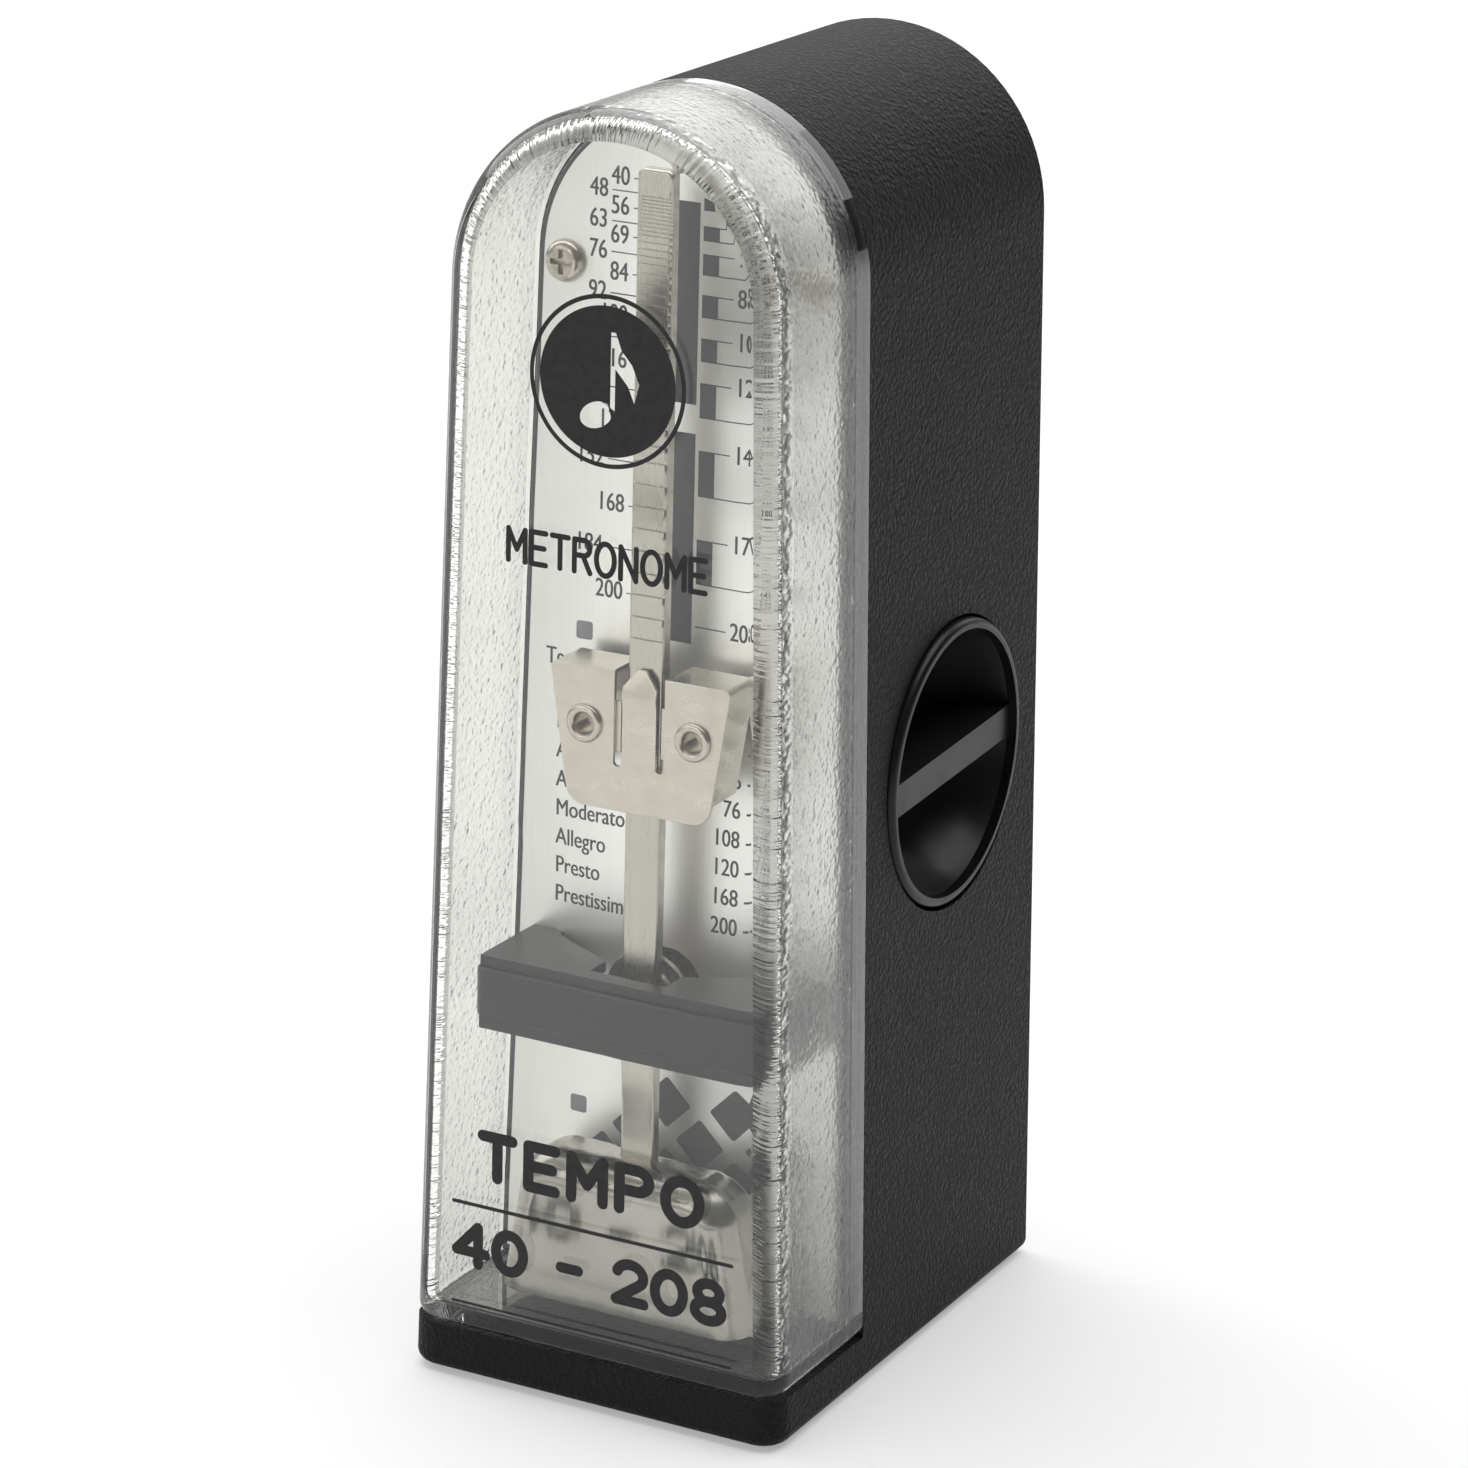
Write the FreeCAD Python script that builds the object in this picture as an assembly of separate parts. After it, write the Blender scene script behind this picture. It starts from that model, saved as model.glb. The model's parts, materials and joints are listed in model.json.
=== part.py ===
"""Slim wind-up metronome: arched case, clear front cover, pendulum, key dish and movement.

Millimetres, +Z up, the front faces -Y, the winding dish is on +X.
The origin is on the ground plane, under the middle of the case.
"""
import FreeCAD
import Part
import math
import os

# ---------------------------------------------------------------- driving dimensions
# Arched outline, seen from the front: straight sides that lean in and meet a round top.
HEIGHT = 150.0
ARCH_R = 20.62
ARCH_Z = HEIGHT - ARCH_R
SIDE_LEAN = math.radians(1.573)
HALF_DEPTH = 33.5
FRONT_EDGE_R = 3.4
REAR_EDGE_R = 0.8
BOTTOM_EDGE_R = 1.4
BODY_Z = 0.4                    # underside of the case, just above the feet

# Case, base and the raised plinth that carries the scale plate.
CASE_Y = -11.8                  # joint between case and cover
CASE_WALL = 2.2
LIP_TOP = 6.2                   # top of the base that runs forward under the cover
PLINTH_INSET = 2.0
PLINTH_WIDTH = 2.8
PLINTH_Y = -15.0
PLINTH_Z = 8.4
LEDGE_Y = -9.3                  # back of the ring that carries the plinth

# Clear cover.
COVER_WALL = 1.7
COVER_GAP = 0.15
COVER_FRONT = 1.5
COVER_INNER_R = 1.8

# Scale plate.
PLATE_T = 0.6
PLATE_Y = PLINTH_Y - PLATE_T    # its front face
PLATE_INSET = 2.5
PLATE_Z = 8.9
PLATE_HOLE_R = 4.35
SCREW_X = 14.8
SCREW_Z = 128.9

# Pendulum.
PIVOT_Z = 46.8
ROD_W = 4.4
ROD_T = 1.6
ROD_Y = -22.6                   # front face of the rod
ROD_EDGE_R = 0.4
ROD_TOP = 142.0
ROD_FOOT = 17.0
NOTCH_W = 0.35
NOTCH_DEPTH = 0.25
ARBOR_R = 1.0
PIVOT_R = 0.6
HUB_R = 5.3
RUN = 0.05                      # radial clearance of a running fit

# Lower fixed weight.
BOB_Z = 9.6
BOB_TOP = 27.5
BOB_HALF_FOOT = 16.2
BOB_HALF_TOP = 9.2
BOB_SHOULDER = (14.1, 22.5)
BOB_ROUND = 3.6                 # rounding of its front over the top and the sides
BOB_FRONT = -27.0
BOB_BACK = -18.2

# Sliding weight, at its lowest setting.
SLIDER_TOP = 85.5
SLIDER_FOOT = 69.3
SLIDER_HALF_TOP = 11.4
SLIDER_HALF_FOOT = 8.9
SLIDER_Y = -23.8
SLIDER_BACK = -17.8
SHEET = 0.5
TONGUE_HALF = 2.15
SLOT_W = 1.0
SLOT_FOOT = 75.0
RIVET_X = 6.85
RIVET_Z = 78.9
RIVET_R = 1.6
RIVET_BORE = 1.2

# Bridge bar in front of the pendulum.
BRIDGE_HALF = 18.5
BRIDGE_Y = -28.4
BRIDGE_BACK = -25.2
BRIDGE_Z = (41.5, 43.0, 49.0, 50.3)
LEG_T = 1.8

# Winding dish.
DISH_Y = 10.5
DISH_Z = 69.4
DISH_R = 17.0
DISH_FACE = 22.9
RIM_ROUND = 0.8
DISH_GAP = 0.35
GRIP_W = 3.9
GRIP_TILT = 3.4

# Movement: two plates across X, with arbors between them.
PLATE_LEFT = (-15.5, -14.0)
PLATE_RIGHT = (7.5, 9.0)
FRAME_Y = (-6.5, 29.0)
FRAME_Z = (37.0, 86.5)
PILLARS = [(-3.0, 83.0), (25.5, 83.0), (-3.0, 40.5), (25.5, 40.5)]
PILLAR_R = 2.2
BOLT_R = 0.8
BOLT_HOLE_R = 0.9
MODULE = 0.4
PRESSURE = math.radians(25.0)
BARREL_TEETH = 60
MID_PINION = 12
MID_WHEEL = 40
ESC_PINION = 10
ESC_TEETH = 15
ESC_R = 7.0
ESC_CLEAR = 0.6
ESC_Y = 8.0
ESC_Z = PIVOT_Z + ARBOR_R + ESC_CLEAR + ESC_R
BARREL_ARBOR_R = 1.8
TRAIN_ARBOR_R = 0.8
TRAIN_PIVOT_R = 0.5
RATCHET_TEETH = 24
RATCHET_R = 6.5
RATCHET_DEPTH = 0.9
CLICK_OFFSET = (8.6, 7.2)

# Base plate, feet and screws.
BASE_PLATE_Z = (0.8, 2.4)
BASE_SCREWS = [(-17.5, -27.0), (17.5, -27.0), (-17.5, 27.0), (17.5, 27.0)]
FEET = [(-15.5, -19.0), (15.5, -19.0), (-15.5, 19.0), (15.5, 19.0)]
FOOT_R = 4.0
FOOT_TOP = 1.3

# Marks of the tempo scale, and the three constants that place a mark for a given tempo:
# a rod pendulum with a sliding weight beats at SCALE_RATE * sqrt((A - h) / (B + h * h)).
TEMPOS = (list(range(40, 60, 2)) + list(range(60, 72, 3)) + list(range(72, 120, 4))
          + list(range(120, 144, 6)) + list(range(144, 209, 8)))
SCALE_TOP = 139.1               # height of the slowest mark
SCALE_FOOT = 89.4               # height of the fastest mark
SCALE_A = 96.0
SCALE_B = 5290.0


# ---------------------------------------------------------------- helpers
def vec(x, y, z):
    return FreeCAD.Vector(x, y, z)


def box(x, y, z):
    """Block from three (low, high) pairs."""
    return Part.makeBox(x[1] - x[0], y[1] - y[0], z[1] - z[0], vec(x[0], y[0], z[0]))


def along_x(r, y, z, x):
    return Part.makeCylinder(r, x[1] - x[0], vec(x[0], y, z), vec(1, 0, 0))


def along_y(r, x, z, y):
    return Part.makeCylinder(r, y[1] - y[0], vec(x, y[0], z), vec(0, 1, 0))


def along_z(r, x, y, z):
    return Part.makeCylinder(r, z[1] - z[0], vec(x, y, z[0]), vec(0, 0, 1))


def front_prism(points, y):
    """Polygon of (x, z) points, extruded from y[0] to y[1]."""
    wire = Part.makePolygon([vec(px, y[0], pz) for px, pz in points + points[:1]])
    return Part.Face(wire).extrude(vec(0, y[1] - y[0], 0))


def side_prism(points, x):
    """Polygon of (y, z) points, extruded from x[0] to x[1]."""
    wire = Part.makePolygon([vec(x[0], py, pz) for py, pz in points + points[:1]])
    return Part.Face(wire).extrude(vec(x[1] - x[0], 0, 0))


def plan_prism(points, z):
    """Polygon of (x, y) points, extruded from z[0] to z[1]."""
    wire = Part.makePolygon([vec(px, py, z[0]) for px, py in points + points[:1]])
    return Part.Face(wire).extrude(vec(0, 0, z[1] - z[0]))


def half_width(z, inset=0.0):
    """Half the width of the case at height z, below the arch."""
    return (ARCH_R - inset) / math.cos(SIDE_LEAN) + (ARCH_Z - z) * math.tan(SIDE_LEAN)


def arched(inset, z_low, y):
    """The arched outline, moved in by inset and cut off at z_low, from y[0] to y[1]."""
    r = ARCH_R - inset
    foot = half_width(z_low, inset)
    shoulder = vec(r * math.cos(SIDE_LEAN), y[0], ARCH_Z + r * math.sin(SIDE_LEAN))
    mirror = vec(-shoulder.x, y[0], shoulder.z)
    left = vec(-foot, y[0], z_low)
    right = vec(foot, y[0], z_low)
    edges = [Part.makeLine(left, right), Part.makeLine(right, shoulder),
             Part.Arc(shoulder, vec(0, y[0], ARCH_Z + r), mirror).toShape(),
             Part.makeLine(mirror, left)]
    return Part.Face(Part.Wire(edges)).extrude(vec(0, y[1] - y[0], 0))


def edges_at(shape, test):
    """Edges whose every sampled point passes the test."""
    found = []
    for edge in shape.Edges:
        points = edge.discretize(5)
        if all(test(p) for p in points):
            found.append(edge)
    return found


def near(a, b):
    return abs(a - b) < 1e-3


def turned(shape, degrees, y, z):
    """Copy turned about an axis along X through (y, z)."""
    copy = shape.copy()
    copy.rotate(vec(0, y, z), vec(1, 0, 0), degrees)
    return copy


def save(node, shape):
    """Write one solid to its own STEP file."""
    shape = shape.removeSplitter()
    if shape.ShapeType == "Compound" and len(shape.Solids) == 1:
        shape = shape.Solids[0]
    if len(shape.Solids) != 1 or not shape.isValid():
        raise ValueError("%s: %d solids, valid %s" % (node, len(shape.Solids), shape.isValid()))
    shape.exportStep("parts/%s.step" % node)


# ---------------------------------------------------------------- toothed wheels
def involute(angle):
    return math.tan(angle) - angle


def gear(teeth, phase, y, z, x, thinning=0.08):
    """Spur wheel on an axis along X, with a tooth centred at the angle phase from +Y."""
    pitch_r = MODULE * teeth / 2
    base_r = pitch_r * math.cos(PRESSURE)
    root_r = pitch_r - 1.15 * MODULE
    tip_r = pitch_r + 0.8 * MODULE
    start_r = max(base_r, root_r + 0.02)
    half_pitch = (math.pi * MODULE / 2 - thinning) / (2 * pitch_r)

    def half_angle(r):
        lean = math.acos(min(1.0, base_r / r))
        return half_pitch + involute(PRESSURE) - involute(lean)

    flank = [(root_r, half_angle(start_r))]
    for step in range(3):
        r = start_r + (tip_r - start_r) * step / 2
        flank.append((r, half_angle(r)))
    points = []
    for tooth in range(teeth):
        centre = phase + 2 * math.pi * tooth / teeth
        for r, half in flank:
            points.append((y + r * math.cos(centre - half), z + r * math.sin(centre - half)))
        for r, half in reversed(flank):
            points.append((y + r * math.cos(centre + half), z + r * math.sin(centre + half)))
    return side_prism(points, x)


def saw_wheel(teeth, tip_r, root_r, land, phase, y, z, x):
    """Wheel of saw teeth on an axis along X: one face is radial, the other a long ramp."""
    points = []
    step = 2 * math.pi / teeth
    for tooth in range(teeth):
        face = phase + step * tooth
        for r, angle in ((root_r, face), (tip_r, face), (tip_r, face + land)):
            points.append((y + r * math.cos(angle), z + r * math.sin(angle)))
    return side_prism(points, x)


def crossed_out(shape, count, hole_r, at_r, y, z, x):
    """Lighten a wheel with a ring of round holes."""
    for k in range(count):
        a = 2 * math.pi * (k + 0.5) / count
        shape = shape.cut(along_x(hole_r, y + at_r * math.cos(a), z + at_r * math.sin(a), x))
    return shape


def mid_centre():
    """Centre of the middle arbor, in mesh with the barrel and with the escape pinion."""
    to_barrel = MODULE * (BARREL_TEETH + MID_PINION) / 2
    to_escape = MODULE * (MID_WHEEL + ESC_PINION) / 2
    dy = ESC_Y - DISH_Y
    dz = ESC_Z - DISH_Z
    gap = math.hypot(dy, dz)
    along = (to_barrel ** 2 - to_escape ** 2 + gap ** 2) / (2 * gap)
    across = math.sqrt(to_barrel ** 2 - along ** 2)
    return (DISH_Y + (dy * along - dz * across) / gap,
            DISH_Z + (dz * along + dy * across) / gap)


MID_Y, MID_Z = mid_centre()


# ---------------------------------------------------------------- case
def outer_body():
    """Whole outer form of case and cover, with its rounded edges."""
    body = arched(0.0, BODY_Z, (-HALF_DEPTH, HALF_DEPTH))
    front = edges_at(body, lambda p: near(p.y, -HALF_DEPTH))
    front = [e for e in front if not all(near(v.Z, BODY_Z) for v in e.Vertexes)]
    body = body.makeFillet(FRONT_EDGE_R, front)
    rear = edges_at(body, lambda p: near(p.y, HALF_DEPTH))
    rear = [e for e in rear if not all(near(v.Z, BODY_Z) for v in e.Vertexes)]
    body = body.makeFillet(REAR_EDGE_R, rear)
    foot = edges_at(body, lambda p: near(p.z, BODY_Z))
    return body.makeFillet(BOTTOM_EDGE_R, foot)


def case_shell(body):
    wide = (-40.0, 40.0)
    shell = body.cut(box(wide, (-40.0, CASE_Y), (LIP_TOP, 160.0)))
    shell = shell.fuse(arched(PLINTH_INSET, PLINTH_Z, (PLINTH_Y, CASE_Y)))
    back = HALF_DEPTH - CASE_WALL
    shell = shell.cut(arched(CASE_WALL, 0.0, (LEDGE_Y, back)))
    opening_inset = PLINTH_INSET + PLINTH_WIDTH
    shell = shell.cut(arched(opening_inset, PLINTH_Z + 2.0, (PLINTH_Y - 1, LEDGE_Y + 1)))
    lip_half = half_width(LIP_TOP, CASE_WALL)
    shell = shell.cut(box((-lip_half, lip_half), (-back, LEDGE_Y + 1), (0.0, LIP_TOP - 1.8)))

    well_x = (13.0, 30.0)
    well = along_x(DISH_R + DISH_GAP + 1.3, DISH_Y, DISH_Z, well_x)
    well = well.common(arched(0.5, BODY_Z, (LEDGE_Y, back + 1)))
    shell = shell.fuse(well)
    shell = shell.cut(along_x(DISH_R + DISH_GAP, DISH_Y, DISH_Z, (10.0, 30.0)))

    inside = arched(1.0, BODY_Z, (LEDGE_Y, back))
    for y, z in PILLARS:
        post = along_x(2.8, y, z, (-26.0, PLATE_LEFT[0])).common(inside)
        shell = shell.fuse(post).cut(along_x(BOLT_HOLE_R, y, z, (-19.0, PLATE_LEFT[0])))
    for x, y in BASE_SCREWS:
        top = 12.0 if y > 0 else LIP_TOP - 1.0
        corner = box((x - 2.8, x + 2.8), (y - 2.8, y + 2.8), (BASE_PLATE_Z[1], top))
        wall_x = (x, x + 4.4) if x > 0 else (x - 4.4, x)
        rib = box(wall_x, (y - 0.7, y + 0.7), (BASE_PLATE_Z[1], top))
        shell = shell.fuse(corner).fuse(rib.common(arched(1.0, BODY_Z, (-back, back))))
        shell = shell.cut(along_z(BOLT_HOLE_R, x, y, (0.0, top - 1.0)))
    for side in (-1, 1):
        boss = along_y(2.7, side * SCREW_X, SCREW_Z, (PLINTH_Y, LEDGE_Y))
        shell = shell.fuse(boss).cut(
            along_y(1.05, side * SCREW_X, SCREW_Z, (PLINTH_Y - 1, LEDGE_Y - 1)))
    return shell


def pan_head(x, z, y_face, head_r, head_h):
    """Cross-recessed pan head standing on a plane that faces -Y."""
    head = along_y(head_r, x, z, (y_face - head_h, y_face))
    rim = edges_at(head, lambda p: near(p.y, y_face - head_h))
    head = head.makeFillet(head_h * 0.85, rim)
    slot = 0.26 * head_r
    reach = 0.56 * head_r
    y = (y_face - head_h - 0.1, y_face - head_h * 0.35)
    head = head.cut(box((x - reach, x + reach), y, (z - slot / 2, z + slot / 2)))
    return head.cut(box((x - slot / 2, x + slot / 2), y, (z - reach, z + reach)))


def scale_plate():
    plate = arched(PLATE_INSET, PLATE_Z, (PLATE_Y, PLINTH_Y))
    plate = plate.cut(along_y(PLATE_HOLE_R, 0, PIVOT_Z, (PLATE_Y - 1, PLINTH_Y + 1)))
    for side in (-1, 1):
        plate = plate.cut(along_y(1.1, side * SCREW_X, SCREW_Z, (PLATE_Y - 1, PLINTH_Y + 1)))
        plate = plate.cut(
            along_y(BOLT_HOLE_R, side * 16.0, 46.0, (PLATE_Y - 1, PLINTH_Y + 1)))
    return plate


def bridge():
    """Bar in front of the pendulum, on two legs with flat triangular webs."""
    z0, z1, z2, z3 = BRIDGE_Z
    bar = box((-BRIDGE_HALF, BRIDGE_HALF), (BRIDGE_Y, BRIDGE_BACK), (z1, z2))
    corner = edges_at(bar, lambda p: near(p.y, BRIDGE_Y) and near(abs(p.x), BRIDGE_HALF))
    bar = bar.makeFillet(1.6, corner)
    long_edges = edges_at(bar, lambda p: p.y < BRIDGE_BACK - 0.1 and not near(p.z, (z1 + z2) / 2))
    bar = bar.makeFillet(0.45, long_edges)
    foot = BRIDGE_HALF - 0.6
    bar = bar.fuse(box((-foot, foot), (BRIDGE_Y + 0.6, BRIDGE_BACK), (z0, z1)))
    bar = bar.fuse(box((-foot, foot), (BRIDGE_Y + 0.8, BRIDGE_BACK), (z2, z3)))
    for side in (-1, 1):
        web = [(side * foot, BRIDGE_BACK - 0.5), (side * foot, PLATE_Y),
               (side * (foot - 2.2), PLATE_Y), (side * 4.9, -21.4),
               (side * 4.9, BRIDGE_BACK - 0.5)]
        bar = bar.fuse(plan_prism(web, (z2, z3)))
        leg_x = sorted((side * foot, side * (foot - LEG_T)))
        bar = bar.fuse(box(leg_x, (BRIDGE_BACK - 0.5, PLATE_Y), (z0, z3)))
        pad_x = sorted((side * foot, side * (foot - 4.0)))
        bar = bar.fuse(box(pad_x, (PLATE_Y - 3.0, PLATE_Y), (z0, z3)))
        bar = bar.cut(along_y(BOLT_R, side * 16.0, 46.0, (PLATE_Y - 2.4, PLATE_Y)))
    return bar.cut(along_y(1.8, 0, PIVOT_Z, (-26.9, BRIDGE_BACK)))


def bearing_bush(y):
    ring = along_y(1.8, 0, PIVOT_Z, y)
    return ring.cut(along_y(PIVOT_R + RUN, 0, PIVOT_Z, (y[0] - 1, y[1] + 1)))


def bolt_y(x, z, y_head, y_tip):
    """Small screw along Y whose flat head stands on the side away from its tip."""
    way = 1 if y_tip < y_head else -1
    head = along_y(1.5, x, z, sorted((y_head, y_head + way * 1.0)))
    shank = along_y(BOLT_R, x, z, sorted((y_head, y_tip)))
    return head.fuse(shank)


def base_plate():
    half = half_width(BASE_PLATE_Z[1], CASE_WALL) - 0.3
    back = HALF_DEPTH - CASE_WALL - 0.3
    plate = box((-half, half), (-back, back), BASE_PLATE_Z)
    low = BASE_PLATE_Z[0]
    for x, y in BASE_SCREWS:
        plate = plate.cut(along_z(BOLT_HOLE_R, x, y, (0.0, 3.0)))
        plate = plate.cut(along_z(2.1, x, y, (low - 1, low + 0.7)))
    for x, y in FEET:
        plate = plate.cut(along_z(FOOT_R + 0.05, x, y, (low - 1, FOOT_TOP)))
    return plate


def base_screw(x, y):
    low = BASE_PLATE_Z[0]
    head = along_z(1.9, x, y, (low, low + 0.7))
    tip = 9.0 if y > 0 else LIP_TOP - 2.2
    return head.fuse(along_z(BOLT_R, x, y, (low + 0.7, tip)))


def foot(x, y):
    pad = along_z(FOOT_R, x, y, (0.0, FOOT_TOP))
    rim = edges_at(pad, lambda p: near(p.z, 0.0))
    return pad.makeFillet(0.25, rim)


# ---------------------------------------------------------------- cover
def cover(body):
    rear = CASE_Y - COVER_GAP
    shell = body.common(box((-40.0, 40.0), (-40.0, rear), (LIP_TOP + COVER_GAP, 160.0)))
    front = -HALF_DEPTH + COVER_FRONT
    floor = LIP_TOP + COVER_GAP + COVER_WALL
    hollow = arched(COVER_WALL, floor, (front, 0.0))
    rim = edges_at(hollow, lambda p: near(p.y, front))
    rim = [e for e in rim if not all(near(v.Z, floor) for v in e.Vertexes)]
    return shell.cut(hollow.makeFillet(COVER_INNER_R, rim))


# ---------------------------------------------------------------- pendulum
def mark_height(tempo):
    """Height of the mark for a tempo: the heavier end swings the slower, the higher it sits."""
    def rate(h):
        return math.sqrt((SCALE_A - h) / (SCALE_B + h * h))

    low = SCALE_FOOT - PIVOT_Z
    high = SCALE_TOP - PIVOT_Z
    span = (rate(low) - rate(high)) / (TEMPOS[-1] - TEMPOS[0])
    wanted = rate(high) + span * (tempo - TEMPOS[0])
    for _ in range(40):
        middle = (low + high) / 2
        if rate(middle) > wanted:
            low = middle
        else:
            high = middle
    return PIVOT_Z + middle


def pendulum_rod():
    half = ROD_W / 2
    rod = box((-half, half), (ROD_Y, ROD_Y + ROD_T), (ROD_FOOT, ROD_TOP))
    top = edges_at(rod, lambda p: near(p.z, ROD_TOP) and near(abs(p.x), half))
    rod = rod.makeFillet(0.8, top)
    long_edges = edges_at(rod, lambda p: near(p.y, ROD_Y) and near(abs(p.x), half))
    rod = rod.makeFillet(ROD_EDGE_R, long_edges)
    rod = rod.cut(along_y(ARBOR_R, 0, PIVOT_Z, (ROD_Y - 1, ROD_Y + ROD_T + 1)))
    notches = []
    for tempo in TEMPOS:
        z = mark_height(tempo)
        notches.append(box((-half - 1, half + 1), (ROD_Y - 1, ROD_Y + NOTCH_DEPTH),
                           (z - NOTCH_W / 2, z + NOTCH_W / 2)))
    return rod.cut(Part.makeCompound(notches))


def bob():
    """Lower weight: a heavy bell-shaped block, rounded over its front and its shoulders."""
    y = BOB_FRONT

    def at(x, z):
        return vec(x, y, z)

    sx, sz = BOB_SHOULDER
    right = [Part.makeLine(at(-BOB_HALF_FOOT, BOB_Z), at(BOB_HALF_FOOT, BOB_Z)),
             Part.makeLine(at(BOB_HALF_FOOT, BOB_Z), at(sx, sz)),
             Part.Arc(at(sx, sz), at(12.4, BOB_TOP - 1.6), at(BOB_HALF_TOP, BOB_TOP)).toShape()]
    left = [Part.makeLine(at(BOB_HALF_TOP, BOB_TOP), at(-BOB_HALF_TOP, BOB_TOP)),
            Part.Arc(at(-BOB_HALF_TOP, BOB_TOP), at(-12.4, BOB_TOP - 1.6), at(-sx, sz)).toShape(),
            Part.makeLine(at(-sx, sz), at(-BOB_HALF_FOOT, BOB_Z))]
    block = Part.Face(Part.Wire(right + left)).extrude(vec(0, BOB_BACK - BOB_FRONT, 0))
    front = edges_at(block, lambda p: near(p.y, BOB_FRONT) and p.z > BOB_Z + 0.1)
    block = block.makeFillet(BOB_ROUND, front)
    back = edges_at(block, lambda p: near(p.y, BOB_BACK) and p.z > BOB_Z + 0.1)
    block = block.makeFillet(2.4, back)
    half = ROD_W / 2
    block = block.cut(box((-half, half), (ROD_Y, ROD_Y + ROD_T), (ROD_FOOT, BOB_TOP + 1)))
    return block.cut(along_y(BOLT_R, 0, 22.0, (ROD_Y + ROD_T, 0.0)))


def bob_screw():
    head = along_y(1.6, 0, 22.0, (BOB_BACK, BOB_BACK + 0.9))
    return head.fuse(along_y(BOLT_R, 0, 22.0, (ROD_Y + ROD_T, BOB_BACK)))


def pendulum_arbor():
    arbor = along_y(ARBOR_R, 0, PIVOT_Z, (-25.0, 13.4))
    return arbor.fuse(along_y(PIVOT_R, 0, PIVOT_Z, (-26.7, 15.4)))


def arbor_hub():
    """Flanged hub behind the rod, seen through the hole in the scale plate."""
    back = ROD_Y + ROD_T
    hub = along_y(HUB_R, 0, PIVOT_Z, (back + 0.4, back + 1.1))
    boss = along_y(3.7, 0, PIVOT_Z, (back, back + 0.4))
    hub = hub.fuse(boss.makeChamfer(0.25, edges_at(boss, lambda p: near(p.y, back))))
    hub = hub.fuse(along_y(3.0, 0, PIVOT_Z, (back + 1.0, back + 4.0)))
    return hub.cut(along_y(ARBOR_R, 0, PIVOT_Z, (back - 1, 0.0)))


def pallets():
    """Two vanes on the pendulum arbor, one each side of the escape wheel's lowest tooth."""
    y = (ESC_Y - 5.0, ESC_Y + 5.0)
    collar = along_y(ARBOR_R + 0.45, 0, PIVOT_Z, (y[0], ESC_Y - 2.6))
    shape = collar.fuse(along_y(ARBOR_R + 0.45, 0, PIVOT_Z, (ESC_Y + 2.6, y[1])))
    spine = along_y(ARBOR_R + 0.2, 0, PIVOT_Z, y)
    shape = shape.fuse(spine)
    for side in (-1, 1):
        vane_y = sorted((ESC_Y + side * 3.8, ESC_Y + side * 4.3))
        shape = shape.fuse(box((-2.4, 2.4), vane_y, (PIVOT_Z, PIVOT_Z + 2.3)))
    return shape.cut(along_y(ARBOR_R, 0, PIVOT_Z, (y[0] - 1, y[1] + 1)))


# ---------------------------------------------------------------- sliding weight
def slider_outline(inset):
    """Trapezium of the sliding weight, moved in by inset."""
    top = SLIDER_TOP - inset
    foot = SLIDER_FOOT + inset
    return [(-SLIDER_HALF_FOOT + inset, foot), (SLIDER_HALF_FOOT - inset, foot),
            (SLIDER_HALF_TOP - inset, top), (-SLIDER_HALF_TOP + inset, top)]


def slider_shell():
    """Folded sheet: front plate with a spring tongue, folded top and sides."""
    shell = front_prism(slider_outline(0.0), (SLIDER_Y, SLIDER_BACK))
    upright = edges_at(shell, lambda p: near(p.z, SLIDER_FOOT) and abs(p.x) > SLIDER_HALF_FOOT - 0.01)
    shell = shell.makeFillet(2.4, upright)
    corner = edges_at(shell, lambda p: near(p.z, SLIDER_TOP) and abs(p.x) > SLIDER_HALF_TOP - 0.01)
    shell = shell.makeFillet(0.7, corner)
    inner = SLIDER_Y + SHEET
    shell = shell.cut(front_prism(slider_outline(SHEET), (inner, 0.0)))
    shell = shell.cut(box((-3.4, 3.4), (inner, 0.0), (SLIDER_TOP - 2, SLIDER_TOP + 1)))
    shell = shell.cut(box((-40, 40), (inner, 0.0), (SLIDER_FOOT - 1, SLIDER_FOOT + 2.4)))
    opening = TONGUE_HALF + SLOT_W
    shell = shell.cut(box((-opening, opening), (SLIDER_Y - 1, inner + 0.1),
                          (SLOT_FOOT, SLIDER_TOP + 1)))
    for side in (-1, 1):
        mid = side * (TONGUE_HALF + SLOT_W / 2)
        shell = shell.cut(along_y(SLOT_W / 2, mid, SLOT_FOOT, (SLIDER_Y - 1, inner + 0.1)))
    bend = [(SLIDER_Y, SLOT_FOOT - 0.5), (inner, SLOT_FOOT - 0.5), (inner, 81.4), (-23.5, 83.0),
            (-22.75, 86.3), (-23.2, 86.3), (-24.05, 82.8), (SLIDER_Y, 81.5)]
    tongue = side_prism(bend, (-TONGUE_HALF, TONGUE_HALF))
    tip = [(-TONGUE_HALF, 74.0), (TONGUE_HALF, 74.0), (TONGUE_HALF, 83.9), (0.5, 85.9),
           (-0.5, 85.9), (-TONGUE_HALF, 83.9)]
    shell = shell.fuse(tongue.common(front_prism(tip, (-30.0, 0.0))))
    for side in (-1, 1):
        shell = shell.cut(
            along_y(RIVET_R, side * RIVET_X, RIVET_Z, (SLIDER_Y - 1, inner + 0.1)))
    return shell


def slider_block():
    """Steel block inside the sheet, grooved for the rod."""
    block = box((-9.3, 9.3), (SLIDER_Y + SHEET, -18.4), (76.0, 82.0))
    groove = ROD_W / 2 + 0.3
    block = block.cut(box((-groove, groove), (-30.0, ROD_Y + ROD_T + 0.3), (70.0, 90.0)))
    for side in (-1, 1):
        block = block.cut(along_y(RIVET_R, side * RIVET_X, RIVET_Z, (-30.0, 0.0)))
    return block


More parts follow.
